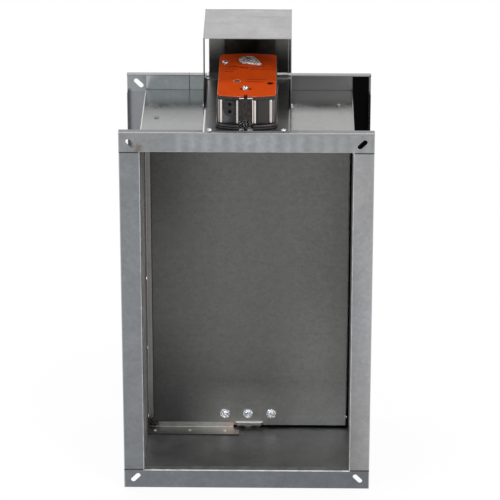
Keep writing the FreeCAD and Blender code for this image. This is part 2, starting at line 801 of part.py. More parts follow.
def drive():
    """The closed drive: base, housing with its bays, cover, label and what is set in them."""
    bore = post(0, blade_setback, bridge_top - 1, label_top + 1, bore_radius)
    crank = post(override_place[0], blade_setback + override_place[1],
                 label_bottom - override_depth, label_top + 1, override_radius + turn_gap)
    lock = post(lock_place[0], blade_setback + lock_place[1],
                label_bottom - lock_depth, label_top + 1, lock_radius + turn_gap)
    notch = box(label_notch_place - label_notch_width / 2,
                label_notch_place + label_notch_width / 2,
                drive_front - 9, drive_front + label_notch_depth,
                cover_bottom, label_top + 1)
    housing = drive_plan(housing_bottom, cover_bottom, 0)
    bay_low = housing_bottom + bay_margin
    bay_high = cover_bottom - bay_margin
    for x0, x1 in (left_bay, right_bay):
        floor = front_at((x0 + x1) / 2) + bay_depth
        housing = housing.cut(box(x0, x1, drive_front - 1, floor, bay_low, bay_high))
    clip_room = box(clip_span[0] - clip_gap, clip_span[1] + clip_gap, drive_front - 9,
                    drive_front + clip_sheet, bridge_top - 1, label_bottom)
    housing = housing.cut(clip_room)
    strips = []
    for x, width in strip_places:
        y = front_at(x)
        strip = box(x - width / 2, x + width / 2, y - strip_rise, y + strip_depth,
                    housing_bottom, bay_high)
        housing = housing.cut(strip)
        strips.append(strip)
    save(Part.makeCompound(strips), "front_strips")
    base = drive_plan(bridge_top, housing_bottom, base_overhang, base_chin)
    base = base.cut(clip_room).cut(bore)
    for x, y in from_shaft(drive_screw_places):
        base = base.cut(post(x, y, bridge_top - 1, bridge_top + base_height / 2,
                             screw_radius + seat_gap))
    save(base, "drive_base")
    save(housing.cut(bore).cut(crank).cut(lock), "drive_housing")
    cover = drive_plan(cover_bottom, label_bottom, -label_margin / 2)
    label = drive_plan(label_bottom, label_top, -label_margin)
    screws = []
    for x, y in from_shaft(cover_screw_places):
        hole = post(x, y, label_top - cover_screw_length, label_top + 1, screw_radius + seat_gap)
        cover = cover.cut(hole)
        label = label.cut(hole)
        screws.append(dome_screw(x, y, label_top, cover_screw_length))
    save(cover.cut(bore).cut(crank).cut(lock).cut(clip_room), "drive_cover")
    save(label.cut(bore).cut(crank).cut(lock).cut(notch), "label_plate")
    save(Part.makeCompound(screws), "cover_screws")
    screws = []
    for x, y in from_shaft(drive_screw_places):
        screw = dome_screw(0, 0, 0, bridge_sheet + base_height / 2 - 1)
        screw.rotate(V(0, 0, 0), RIGHT, 180)
        screw.translate(V(x, y, outer_top))
        screws.append(screw)
    save(Part.makeCompound(screws), "drive_screws")


def front_clip():
    """Sheet clip on the drive's front: a web with a notched flange at the top and the foot."""
    x0, x1 = clip_span
    y0 = drive_front
    low = bridge_top + clip_gap + clip_sheet
    high = label_bottom - clip_gap - clip_sheet
    foot = y0 - base_chin
    path = [(foot - clip_flange, low), (y0, low), (y0, high), (y0 - clip_flange, high)]
    clip = folded(path, clip_sheet, -1, lambda u, v: V(x0, u, v), V(x1 - x0, 0, 0))
    slot_half = label_notch_width / 2
    clip = clip.cut(box(label_notch_place - slot_half, label_notch_place + slot_half,
                        foot - clip_flange - 1, y0 - clip_gap, low - 2, high + 2))
    save(clip, "front_clip")


def cable_grommet():
    """Oval rubber grommet in the left bay, with two blind cable holes."""
    x, z = grommet_place, housing_bottom + grommet_rise_height
    y1 = front_at(sum(left_bay) / 2) + bay_depth
    y0 = y1 - grommet_rise
    reach = (grommet_height - grommet_width) / 2
    body = along_y(x, z - reach, y0, y1, grommet_width / 2)
    body = body.fuse(along_y(x, z + reach, y0, y1, grommet_width / 2))
    body = body.fuse(box(x - grommet_width / 2, x + grommet_width / 2, y0, y1,
                         z - reach, z + reach)).removeSplitter()
    for end in (-1, 1):
        body = body.cut(along_y(x, z + end * cable_pitch / 2, y0 - 1, y1 - 0.4, cable_radius))
    save(body, "cable_grommet")


def hand_controls():
    """Hexagon socket for the hand crank, and the small lock knob."""
    x, y = from_shaft([override_place])[0]
    z0 = label_bottom - override_depth + turn_gap
    socket = post(x, y, z0, label_top, override_radius)
    recess = hexagon(x, y, label_top - hex_depth, label_top + 1, override_hex)
    save(socket.cut(recess), "crank_socket")
    x, y = from_shaft([lock_place])[0]
    z0 = label_bottom - lock_depth + turn_gap
    knob = post(x, y, z0, label_top, lock_radius)
    groove = box(x - lock_radius, x + lock_radius, y - lock_groove / 2, y + lock_groove / 2,
                 label_top - lock_groove, label_top + 1)
    save(knob.cut(groove), "lock_knob")


def hub_and_pointer():
    """Clamp sleeve on the shaft, and the drop-shaped pointer on top of it."""
    sleeve = tube(0, blade_setback, bridge_top + turn_gap, hub_top, hub_radius,
                  shaft_radius + running_gap)
    save(sleeve, "shaft_clamp")
    discs = [(x, blade_setback + y, r) for x, y, r in pointer_discs]
    leaf = belt(discs, hub_top, hub_top + pointer_thickness)
    save(leaf.cut(post(0, blade_setback, hub_top - 1, hub_top + 9, screw_radius)),
         "position_pointer")


os.makedirs("parts", exist_ok=True)
flanges()
casing()
stops()
heat_seals()
stop_rivets()
flange_gasket()
blade()
blade_bolts()
shafts()
bridge()
hood()
drive()
front_clip()
cable_grommet()
hand_controls()
hub_and_pointer()
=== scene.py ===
import math
from functools import partial

import bpy
import numpy as np
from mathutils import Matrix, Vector


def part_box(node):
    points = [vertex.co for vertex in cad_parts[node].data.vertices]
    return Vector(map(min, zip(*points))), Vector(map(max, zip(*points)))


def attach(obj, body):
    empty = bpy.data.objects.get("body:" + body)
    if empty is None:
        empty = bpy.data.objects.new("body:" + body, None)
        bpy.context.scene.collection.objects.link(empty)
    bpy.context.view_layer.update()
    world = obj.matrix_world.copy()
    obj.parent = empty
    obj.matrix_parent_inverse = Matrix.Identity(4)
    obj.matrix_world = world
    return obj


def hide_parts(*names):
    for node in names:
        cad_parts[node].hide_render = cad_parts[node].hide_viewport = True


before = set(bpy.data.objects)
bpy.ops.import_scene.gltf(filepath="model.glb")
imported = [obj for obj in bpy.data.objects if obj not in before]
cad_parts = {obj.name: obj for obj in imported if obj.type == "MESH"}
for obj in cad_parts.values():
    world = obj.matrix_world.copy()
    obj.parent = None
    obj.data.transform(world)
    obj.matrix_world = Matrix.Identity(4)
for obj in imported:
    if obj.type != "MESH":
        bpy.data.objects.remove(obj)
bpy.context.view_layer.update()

# Studio. The camera stands 4.5 m in front of the damper and a little above its roof. Soft
# lamps hang round it, and the surround is white for the camera, bare metal and glass.


def new_object(name, data, place=(0.0, 0.0, 0.0), aim=None):
    """Adds an object to the scene. Where it has an aim, its front faces that point."""
    made = bpy.data.objects.new(name, data)
    made.location = place
    if aim is not None:
        made.rotation_euler = (Vector(aim) - made.location).to_track_quat("-Z", "Y").to_euler()
    bpy.context.collection.objects.link(made)
    return made


camera_data = bpy.data.cameras.new("studio_camera")
camera_data.sensor_width = 36.0
camera_data.lens = 221.5
camera_data.clip_end = 60.0
camera = new_object("studio_camera", camera_data, (0.0621, -4.1513, 2.1061),
                    (0.00345, -0.015, 0.3348))
bpy.context.scene.camera = camera
bpy.context.scene.view_settings.view_transform = "Standard"


def soft_lamp(name, place, width, height, power, colour):
    """A rectangular lamp that faces the middle of the damper."""
    data = bpy.data.lights.new(name, "AREA")
    data.shape = "RECTANGLE"
    data.size = width
    data.size_y = height
    data.energy = power
    data.color = colour
    new_object(name, data, place, (0.0, 0.0, 0.3))


soft_lamp("key_lamp", (1.9, -2.4, 2.6), 1.6, 1.6, 62.0, (1.0, 0.985, 0.96))
soft_lamp("fill_lamp", (-2.4, -2.0, 1.8), 1.8, 1.8, 34.0, (0.94, 0.97, 1.0))
soft_lamp("top_lamp", (0.0, 0.6, 3.2), 2.4, 1.6, 46.0, (1.0, 1.0, 1.0))


def wire(made, values):
    """Fills a shader node's inputs: each takes a number, a colour or another node's output."""
    for key, value in values.items():
        if isinstance(value, bpy.types.NodeSocket):
            made.id_data.links.new(value, made.inputs[key])
        else:
            made.inputs[key].default_value = value


def node(kind, values, tree=None, **settings):
    """Adds one shader node, in the tree of the outputs that it takes or else in a given one."""
    if tree is None:
        tree = next(value.id_data for value in values.values()
                    if isinstance(value, bpy.types.NodeSocket))
    made = tree.nodes.new(kind)
    for key, value in settings.items():
        setattr(made, key, value)
    wire(made, values)
    return made


def maths(operation, first, *others):
    """A sum on shader values: the first one with each of the others in turn, or it alone."""
    for other in others or (0.0,):
        first = node("ShaderNodeMath", {0: first, 1: other}, operation=operation).outputs[0]
    return first


most = partial(maths, "MAXIMUM")


def reached_by(tree, *rays):
    """1 for the kinds of ray that are named, 0 for the others."""
    path = node("ShaderNodeLightPath", {}, tree).outputs
    return most(*(path[ray] for ray in rays))


white = (1.0, 1.0, 1.0, 1.0)
world = bpy.data.worlds.new("white_surround")
world.use_nodes = True
bpy.context.scene.world = world
sky = world.node_tree
soft_sky = node("ShaderNodeBackground", {"Color": white, "Strength": 0.42}, sky)
white_sky = node("ShaderNodeBackground", {"Color": white, "Strength": 1.0}, sky)
clear = reached_by(sky, "Is Camera Ray", "Is Glossy Ray", "Is Transmission Ray")
both = node("ShaderNodeMixShader", {0: clear, 1: soft_sky.outputs[0], 2: white_sky.outputs[0]})
wire(sky.nodes["World Output"], {"Surface": both.outputs[0]})

# Floor. A white matt sheet under the damper. Close to the damper it keeps some of the
# shadow, and further out it turns into the white of the surround.
floor_reach = 14.0
floor_cells = 14
floor_level = -0.0004
times = partial(maths, "MULTIPLY")


def new_finish(name):
    """Starts a material, and gives it with its surface shader and the place on the damper."""
    material = bpy.data.materials.new(name)
    material.use_nodes = True
    tree = material.node_tree
    place = node("ShaderNodeTexCoord", {}, tree).outputs["Object"]
    return material, tree.nodes["Principled BSDF"], place


def coat(surface, colour, roughness, specular=0.5, metal=0.0, **normal):
    """Fills the surface shader's inputs."""
    wire(surface, {"Base Color": colour, "Roughness": roughness, "Metallic": metal,
                   "Specular IOR Level": specular, **normal})


def span(value, low, high, first, last, kind="LINEAR"):
    """Maps one range of a value to another, held at both ends."""
    return node("ShaderNodeMapRange", {"Value": value, "From Min": low, "From Max": high,
                                       "To Min": first, "To Max": last},
                interpolation_type=kind).outputs[0]


def distance(place, centre):
    """How far a place is from a centre, in metres."""
    return node("ShaderNodeVectorMath", {0: place, 1: centre}, operation="DISTANCE").outputs["Value"]


floor_mesh = bpy.data.meshes.new("studio_floor")
steps = np.linspace(-floor_reach, floor_reach, floor_cells + 1)
across, along = np.meshgrid(steps, steps)
points = np.stack([across, along, np.full_like(across, floor_level)], axis=-1).reshape(-1, 3)
index = np.arange(len(points)).reshape(across.shape)
cells = np.stack([index[:-1, :-1], index[:-1, 1:], index[1:, 1:], index[1:, :-1]], axis=-1)
floor_mesh.from_pydata(points.tolist(), [], cells.reshape(-1, 4).tolist())
new_object("studio_floor", floor_mesh)
floor_finish, matt, place = new_finish("studio_floor")
tree = floor_finish.node_tree
coat(matt, (0.93, 0.93, 0.93, 1.0), 0.9, 0.1)
spread = span(distance(place, (0.0, 0.0, 0.0)), 0.22, 0.62, 0.91, 1.0, "SMOOTHSTEP")
glow = times(spread, reached_by(tree, "Is Camera Ray", "Is Glossy Ray"))
bright = node("ShaderNodeEmission", {"Color": white, "Strength": 1.0}, tree)
lifted = node("ShaderNodeMixShader", {0: glow, 1: matt.outputs[0], 2: bright.outputs[0]})
wire(tree.nodes["Material Output"], {"Surface": lifted.outputs[0]})
floor_mesh.materials.append(floor_finish)

# Duct walls. Four panels of galvanised steel sheet: a zinc coat with a fine grain, soft
# clouds from the bath and a faint crystal pattern. The roof is the smoothest of them.
plus = partial(maths, "ADD")
minus = partial(maths, "SUBTRACT")
above = partial(maths, "GREATER_THAN")
below = partial(maths, "LESS_THAN")


def axes(place):
    """The three coordinates of a place, in metres."""
    parts = node("ShaderNodeSeparateXYZ", {0: place}).outputs
    return parts["X"], parts["Y"], parts["Z"]


def noise(place, scale, detail=2.0, stretch=None, distortion=0.0):
    """Cloudy noise, in features to the metre. A stretch draws it out along an axis."""
    if stretch is not None:
        place = node("ShaderNodeVectorMath", {0: place, 1: stretch}, operation="MULTIPLY").outputs[0]
    return node("ShaderNodeTexNoise", {"Vector": place, "Scale": scale, "Detail": detail,
                                       "Distortion": distortion}).outputs[0]


def varied(field, low, high):
    """Brings the useful part of a noise to a range of factors."""
    return span(field, 0.3, 0.7, low, high)


def tinted(colour, factor):
    """A colour made lighter or darker by a factor."""
    return node("ShaderNodeVectorMath", {0: colour, "Scale": factor}, operation="SCALE").outputs[0]


def blended(share, first, second):
    """Goes from one colour to another by a share from 0 to 1."""
    first, second = ((*end, 1.0) if isinstance(end, tuple) else end for end in (first, second))
    return node("ShaderNodeMix", {"Factor": share, "A": first, "B": second},
                data_type="RGBA").outputs["Result"]


def bump(height, strength, depth, **under):
    """Tilts the surface by a height field, on top of another one if need be."""
    return node("ShaderNodeBump", {"Height": height, "Strength": strength, "Distance": depth,
                                   **under}).outputs[0]


def galvanised(name, colour, roughness, cloud=0.10, crystal=0.05, streak=None, wave=0.25,
               speckle=0.035, grit=0.12, shade=None, marks=None):
    """Zinc-coated sheet. Clouds 20 mm wide, crystals 5 mm wide and a fine grain change the
    tone; the crystals also change the gloss, and slow waves bend the reflections. Shade and
    marks are functions of the place and its three coordinates. Shade gives a factor for the
    tone. Marks yields for each mark its share, the colour that the sheet takes there and,
    if need be, how matt it is."""
    material, surface, place = new_finish(name)
    where = (place, *axes(place))
    clouds = noise(place, 26.0, 4.0, distortion=0.6)
    grain = noise(place, 700.0)
    crystals = node("ShaderNodeTexVoronoi", {"Vector": place, "Scale": 190.0, "Randomness": 1.0})
    facet = node("ShaderNodeSeparateColor", {"Color": crystals.outputs["Color"]}).outputs
    tone = times(varied(clouds, 1.0 - cloud, 1.0 + cloud),
                 span(facet[0], 0.0, 1.0, 1.0 - crystal, 1.0 + crystal),
                 varied(grain, 1.0 - speckle, 1.0 + speckle))
    if streak is not None:
        tone = times(tone, varied(noise(place, 1.0, 3.0, streak), 0.93, 1.07))
    if shade is not None:
        tone = times(tone, shade(*where))
    cool = tuple(c * k for c, k in zip(colour, (0.96, 1.0, 1.03)))
    warm = tuple(c * k for c, k in zip(colour, (1.03, 1.0, 0.97)))
    zinc = tinted(blended(noise(place, 5.0, 1.0), cool, warm), tone)
    metal = 1.0
    for share, stain, *matt in marks(*where) if marks else ():
        zinc = blended(share, zinc, stain)
        if matt:
            metal = minus(metal, times(share, matt[0]))
    gloss = plus(varied(clouds, roughness - 0.05, roughness + 0.06),
                 span(facet[1], 0.0, 1.0, -0.035, 0.035))
    ripple = bump(noise(place, 7.0), wave, 0.004)
    coat(surface, zinc, gloss, metal=metal, Normal=bump(grain, grit, 0.0002, Normal=ripple))
    return material


def dress(material, *names):
    """Gives CAD nodes their finish."""
    for name in names:
        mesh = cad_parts[name].data
        mesh.materials.clear()
        mesh.materials.append(material)


def wall_marks(place, x, y, z):
    """Painted highlight: the cut edge of the left side panel is painted bright. It stands a little
    above the roof.
    """
    edge = above(z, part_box("left_panel")[1][2] - 0.0012)
    yield times(below(x, 0.0), edge), (0.62, 0.62, 0.62), 0.5


def lit_left_wall(place, x, y, z):
    """Painted light: the left wall is painted brighter than the right one."""
    return span(x, -0.1, 0.1, 2.0, 0.88)


def lit_right(place, x, y, z):
    """Painted shade makes the duct's floor darker towards the middle, and painted light makes it
    brighter towards the right.
    """
    return plus(span(x, -0.12, 0.0, 0.96, 0.66), span(x, 0.0, 0.12, 0.0, 0.49))


def painted_reflection_rear(place, x, y, z):
    """Painted reflection: the roof is darker behind the middle, where the rear flange is reflected,
    most on the left.
    """
    return span(y, -0.02, 0.02, 0.88, span(x, -0.08, 0.08, 0.68, 0.88))


dress(galvanised("galvanised_wall", (0.40, 0.40, 0.40), 0.36, shade=lit_left_wall,
                 marks=wall_marks), "left_panel", "right_panel")
dress(galvanised("galvanised_floor", (0.36, 0.36, 0.36), 0.44, wave=0.08, shade=lit_right),
      "bottom_panel")
dress(galvanised("galvanised_roof", (0.37, 0.37, 0.365), 0.20, cloud=0.06, crystal=0.01,
                 wave=0.0, grit=0.0, shade=painted_reflection_rear), "top_panel")

# Flanges. Nine folded profiles of thicker sheet. Each has its own tone, which is painted light
# and shade. The fold round the opening carries a painted highlight, and the butt joints are dark.
opening_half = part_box("front_flange_right")[0][0]
flange_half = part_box("front_flange_top")[1][0]
frame_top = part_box("front_flange_top")[1][2]
opening_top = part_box("front_flange_top")[0][2]
middle_height = frame_top / 2
lip_level = frame_top - 0.0017
seam_x = -opening_half - 0.0010
splice_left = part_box("rear_flange_top_left")[1][0]
splice_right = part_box("rear_flange_top_right")[0][0]
splice_x = (splice_left + splice_right) / 2
unsigned = partial(maths, "ABSOLUTE")


def inside(value, low, high, edge):
    """1 where a value lies between two limits, with soft edges."""
    return times(span(value, low - edge, low + edge, 0.0, 1.0),
                 span(value, high - edge, high + edge, 1.0, 0.0))


def blot(place, centre, radius, ragged=0.5):
    """A ragged round stain: 1 at its centre, 0 outside its radius."""
    edge = times(varied(noise(place, 900.0, 4.0), 1.0 - ragged, 1.0 + ragged), radius)
    return span(maths("DIVIDE", distance(place, centre), edge), 0.6, 1.0, 1.0, 0.0)


def flange_marks(place, x, y, z):
    """The marks on the profiles of both frames."""
    front, rear, beside = below(y, 0.0), above(y, 0.0), unsigned(x)
    past_opening = minus(unsigned(minus(z, middle_height)), opening_top - middle_height)
    # Outside the side panel the rear frame has one even tone over both profiles.
    left = times(rear, below(x, seam_x + 0.0006), below(z, lip_level))
    yield times(left, 0.85), (0.315, 0.330, 0.348)
    # Shade beside the rear frame's left edge, below the corner.
    edge = span(x, 0.0030 - flange_half, 0.0075 - flange_half, 0.6, 0.0)
    yield times(edge, below(z, opening_top + 0.004), rear), (0.06, 0.065, 0.07)
    # Painted highlight: bright zinc colour on the outer corner of the upright profiles.
    fold = span(beside, flange_half - 0.0016, flange_half - 0.0010, 0.0, 0.8)
    yield times(fold, front), (0.42, 0.42, 0.43)
    # Painted shade: the lip on top of each frame is darker than the web, in patches.
    patchy_shade = span(noise(place, 45.0, 3.0), 0.35, 0.65, 0.8, 1.0)
    yield times(above(z, lip_level), patchy_shade), blended(rear, (0.21, 0.21, 0.215), (0.33, 0.33, 0.335))
    # The bend between the front web and its lip is matt, most on the right.
    bend = inside(z, frame_top - 0.0030, frame_top - 0.0001, 0.0001)
    yield times(bend, front, span(x, -0.12, 0.05, 0.1, 1.0)), (0.24, 0.24, 0.245), 0.7
    # Painted highlight: bright zinc colour where the flange turns into the duct.
    fold = inside(most(minus(beside, opening_half), past_opening), -0.0002, 0.0014, 0.0004)
    yield times(fold, span(noise(place, 60.0, 3.0), 0.35, 0.6, 0.55, 1.0)), (0.66, 0.66, 0.67)
    # Shade in the butt joints between the profiles, and in the splice of the rear one.
    butt = times(inside(past_opening, -0.0010, 0.0008, 0.0003), front,
                 above(beside, opening_half + 0.002))
    splice = times(rear, inside(z, middle_height, lip_level, 0.0001),
                   inside(x, splice_x - 0.0005, splice_x + 0.0005, 0.0002))
    yield times(most(butt, splice), 0.85), (0.02, 0.02, 0.02)
    # Painted light: a bright line up the rear flange, in the plane of the left side panel, and a
    # fainter wedge beside it that leans out by a quarter of its height.
    line = inside(x, seam_x - 0.0006, seam_x + 0.0004, 0.0003)
    lean = times(minus(z, opening_top), 0.25)
    wedge = times(inside(minus(x, lean), -0.2, seam_x, 0.0006), above(x, seam_x), 0.5)
    high = inside(z, opening_top - 0.002, frame_top - 0.004, 0.002)
    yield times(rear, high, most(line, wedge)), (0.75, 0.76, 0.76)
    # Rust that ran from the upper left slot, and a faint spot at the lower left joint.
    rust = most(blot(place, (-0.1520, -0.125, 0.5385), 0.0052, 0.9),
                blot(place, (-0.1530, -0.125, 0.5330), 0.0050, 0.9),
                times(blot(place, (-0.168, -0.125, 0.0305), 0.006, 0.9), 0.3))
    yield times(rust, 0.6), (0.150, 0.095, 0.055)
    # The rear frame's outer lip on the right is black like the foam beside it.
    lip = times(inside(y, 0.0, 0.1140, 0.0001), above(x, flange_half - 0.0025))
    yield lip, (0.003, 0.003, 0.003), 1.0


def long_profile_marks(place, x, y, z):
    """Painted shade: the long rear profile also gets darker from left to right."""
    yield span(x, -0.07, 0.07, 0.0, 0.93, "SMOOTHSTEP"), (0.215, 0.209, 0.212)
    yield from flange_marks(place, x, y, z)


def shaded_low(place, x, y, z):
    """Painted shade: the upright profiles are darker near the floor."""
    return span(z, 0.04, 0.22, 0.85, 1.0)


def lit_outer_edge(place, x, y, z):
    """Painted light: the right profile is painted brighter towards its outer edge, and the other way
    round high up.
    """
    inner = span(z, 0.34, 0.47, 0.87, 1.14)
    outer = span(z, 0.34, 0.47, 1.13, 1.0)
    return times(span(x, 0.152, 0.178, inner, outer), shaded_low(place, x, y, z))


def roll_marks(place, x, y, z):
    """Bands across the top profile, a cosine with a wave 19.1 mm long, but not at the left."""
    bands = maths("COSINE", times(x, 2 * math.pi / 0.0191))
    return plus(times(bands, span(x, -0.115, -0.095, 0.0, 0.075)),
                span(x, -0.115, -0.095, 0.90, 1.05))


def shaded_right(place, x, y, z):
    """Painted shade: the bottom profile is darker towards the right."""
    return span(x, -0.15, 0.15, 1.0, 0.82)


flange_shades = {"front_flange_left": shaded_low, "front_flange_right": lit_outer_edge,
                 "front_flange_top": roll_marks, "front_flange_bottom": shaded_right}
flange_tones = {
    "front_flange_left": (0.220, 0.232, 0.245), "front_flange_top": (0.285, 0.294, 0.303),
    "front_flange_right": (0.312, 0.312, 0.320), "front_flange_bottom": (0.175, 0.187, 0.202),
    "rear_flange_left": (0.30, 0.31, 0.32), "rear_flange_top_left": (0.58, 0.635, 0.645),
    "rear_flange_bottom": (0.27, 0.28, 0.29), "rear_flange_right": (0.24, 0.24, 0.25),
}
for profile, tone in flange_tones.items():
    dress(galvanised("galvanised_" + profile, tone, 0.38, cloud=0.07, crystal=0.06,
                     shade=flange_shades.get(profile), marks=flange_marks), profile)
dress(galvanised("galvanised_rear_flange_top_right", flange_tones["rear_flange_top_left"], 0.38,
                 marks=long_profile_marks), "rear_flange_top_right")

# Stops. Folded angles of the same sheet, riveted inside the walls, which the closed blade
# rests on. Their cut ends are rough and stained where the zinc is gone.
stop_corner, stop_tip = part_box("front_stop_bottom")


def rough_corner(place):
    """Dark brown scale where the lower and the left stop meet."""
    centre = (stop_corner[0] + 0.006, stop_tip[1], stop_corner[2] + 0.008)
    return times(blot(place, centre, 0.014, 0.9), 0.9), (0.014, 0.009, 0.006)


def stop_marks(place, x, y, z):
    """Scale in the corner, pale brown scale at the free end, where the stop was cut with a
    torch, and shade on the cut edge of the foot."""
    yield rough_corner(place)
    tip = (stop_tip[0] - 0.007, stop_tip[1] - 0.010, stop_corner[2])
    yield times(blot(place, tip, 0.025), 0.85), (0.55, 0.49, 0.45)
    yield below(y, stop_corner[1] + 0.0002), (0.05, 0.05, 0.05)


def left_stop_marks(place, x, y, z):
    """A painted shaded line along each edge of the left stop, a painted highlight on its fold, and
    scale.
    """
    edge = minus(x, stop_corner[0])
    dark = most(inside(edge, 0.0005, 0.0013, 0.0003), span(edge, 0.0085, 0.0092, 0.0, 1.0))
    light = inside(edge, 0.0020, 0.0028, 0.0003)
    yield most(times(dark, 0.9), times(light, 0.8)), \
        blended(light, (0.015, 0.014, 0.014), (0.40, 0.40, 0.41))
    yield rough_corner(place)


def painted_shade_stops(place, x, y, z):
    """Painted shade: the stops are darker towards the left corner, and their foot is darker than the
    leg.
    """
    foot = times(below(z, stop_corner[2] + 0.0016), span(x, -0.120, -0.090, 0.10, -0.18))
    return plus(span(x, -0.112, -0.050, 0.60, 1.18), foot)


dress(galvanised("galvanised_stop", (0.44, 0.435, 0.415), 0.40, shade=painted_shade_stops,
                 marks=stop_marks),
      "front_stop_bottom", "front_stop_top", "rear_stop_right", "rear_stop_bottom",
      "rear_stop_top")
dress(galvanised("galvanised_stop_left", (0.215, 0.210, 0.203), 0.40,
                 marks=left_stop_marks), "front_stop_left")

# Rivets that hold the stops. Blind rivets of plated steel, with the dome outside the casing
# and the upset tail on the stop.


def mesh_points(mesh):
    """The corners of a mesh as an array."""
    places = np.empty(len(mesh.vertices) * 3)
    mesh.vertices.foreach_get("co", places)
    return places.reshape(-1, 3)


def solid_boxes(name):
    """Low and high corners of each separate solid in a CAD node. Triangles that share a
    corner take the lowest label among them, again and again, until nothing changes."""
    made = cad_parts[name]
    turn = np.array(made.matrix_world)
    places = mesh_points(made.data) @ turn[:3, :3].T + turn[:3, 3]
    corners, same = np.unique(np.round(places, 6), axis=0, return_inverse=True)
    loops = np.empty(len(made.data.loops), dtype=int)
    made.data.loops.foreach_get("vertex_index", loops)
    triangles = same.reshape(-1)[loops].reshape(-1, 3)
    label = np.arange(len(corners))
    changed = True
    while changed:
        fresh = label.copy()
        lowest = label[triangles].min(axis=1)
        np.minimum.at(fresh, triangles, np.repeat(lowest[:, None], 3, axis=1))
        changed = bool((fresh != label).any())
        label = fresh
    groups = [corners[label == k] for k in np.unique(label)]
    return [(group.min(axis=0), group.max(axis=0)) for group in groups]


def skin(rows, closed=False):
    """Faces over rings of points: each ring joins the next. The last ring joins the first,
    or else a flat face closes each end."""
    count, around = rows.shape[:2]
    index = np.arange(count * around).reshape(count, around)
    lower = index if closed else index[:-1]
    upper = np.roll(index, -1, axis=0) if closed else index[1:]
    faces = np.stack([lower, np.roll(lower, -1, axis=1), np.roll(upper, -1, axis=1), upper],
                     axis=-1).reshape(-1, 4).tolist()
    if not closed:
        faces += [index[0][::-1].tolist(), index[-1].tolist()]
    return rows.reshape(-1, 3), faces


def circle(count):
    """Even turns round a full circle, as pairs of their cosine and sine."""
    angle = np.linspace(0.0, 2 * np.pi, count, endpoint=False)
    return np.stack([np.cos(angle), np.sin(angle)], axis=-1)


def ringed(reach, height, closed=False):
    """Rings round the upright axis, from the radius and the height at each turn of each
    ring. Millimetres."""
    reach, height = np.broadcast_arrays(reach, height)
    rows = np.concatenate([reach[..., None] * circle(reach.shape[1]), height[..., None]], axis=-1)
    return skin(rows / 1000.0, closed)


def turned(profile, around=24, closed=False, limit=np.inf):
    """A turned shape: each radius and height of the profile makes one ring. In each direction
    the radius is the smaller of the profile's and the limit. Millimetres."""
    radius, height = np.array(profile, dtype=float).T[..., None]
    return ringed(np.minimum(radius, np.broadcast_to(limit, around)), height, closed)


facing = {"up": np.eye(3), "down": np.diag([1.0, -1.0, -1.0]),
          "front": np.array([[1.0, 0, 0], [0, 0, -1], [0, 1, 0]]),
          "back": np.array([[-1.0, 0, 0], [0, 0, 1], [0, 1, 0]]),
          "right": np.array([[0.0, 0, 1], [1, 0, 0], [0, 1, 0]]),
          "left": np.array([[0.0, 0, -1], [-1, 0, 0], [0, 1, 0]])}


def seated(shape, box, way, proud):
    """Puts a fastener where a CAD solid is: its axis along one way, and its seat as far
    behind the solid's outer end as its head stands proud, in millimetres."""
    points, faces = shape
    axis = facing[way][:, 2]
    low, high = box
    reach = abs(axis @ (high - low)) / 2 - proud / 1000.0
    return points @ facing[way].T + (low + high) / 2 + axis * reach, faces


def gathered(shapes):
    """Several shapes as one: their points in a row, and their faces counted on."""
    faces = []
    start = 0
    for points, corners in shapes:
        faces += [[start + corner for corner in face] for face in corners]
        start += len(points)
    return np.concatenate([points for points, corners in shapes]), faces


def settled(name, mesh, material, body, stands_for=()):
    """Makes one object of a mesh, on its body and in its slot."""
    mesh.materials.append(material)
    made = new_object(name, mesh)
    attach(made, body)
    if stands_for:
        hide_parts(*stands_for)


def piece(name, shape, material, body, stands_for=(), sharp=35.0):
    """Makes one object of a shape. Edges that turn by more than the sharp angle stay crisp."""
    points, faces = shape
    mesh = bpy.data.meshes.new(name)
    mesh.from_pydata(points.tolist(), [], faces)
    mesh.shade_smooth()
    mesh.set_sharp_from_angle(angle=math.radians(sharp))
    settled(name, mesh, material, body, stands_for)


def plated(name, colour, roughness, sparkle, dull=0.72, recesses=(), darker_above=None):
    """Zinc plating: fine mottling down to a dull share, and shallow facets that catch the
    light. A recess is a place on a screw's axis: within its radius, what lies below the place
    is painted dark, as shade in the recess. Above a height, the plating is darker."""
    material, surface, place = new_finish(name)
    x, y, z = axes(place)
    tone = span(noise(place, 500.0, 3.0), 0.36, 0.60, dull, 1.12)
    for centre, radius in recesses:
        flat = node("ShaderNodeCombineXYZ", {"X": x, "Y": y, "Z": centre[2]}).outputs[0]
        deep = times(below(distance(flat, centre), radius), below(z, centre[2]))
        tone = times(tone, span(deep, 0.0, 1.0, 1.0, 0.03))
    if darker_above is not None:
        tone = times(tone, span(z, darker_above, darker_above + 0.01, 1.0, 0.22))
    dents = node("ShaderNodeTexVoronoi", {"Vector": place, "Scale": 330.0}).outputs["Distance"]
    coat(surface, tinted(colour, tone), roughness, metal=1.0, Normal=bump(dents, sparkle, 0.001))
    return material


rivet_dome = 1.4
rivet_shape = turned([(0.3, -4.1), (2.1, -4.1), (2.6, -3.9), (2.8, -3.3), (2.6, -3.0),
                      (2.0, -3.0), (2.0, 0.0), (3.4, 0.0), (3.6, 0.2), (3.4, 0.65), (2.7, 1.1),
                      (1.7, rivet_dome), (1.45, 1.3), (1.3, 0.95), (0.3, 0.95)])
rivets = []
for low, high in solid_boxes("stop_rivets"):
    middle = (low + high) / 2
    if high[0] - low[0] < high[2] - low[2]:
        way = "right" if middle[0] > 0 else "left"
    else:
        way = "up" if middle[2] > middle_height else "down"
    rivets.append(seated(rivet_shape, (low, high), way, rivet_dome))
rivet_finish = plated("rivet_zinc", (0.75, 0.74, 0.72), 0.40, 1.0, darker_above=0.3)
piece("stop_rivet_set", gathered(rivets), rivet_finish, "casing",
      ("stop_rivets",))

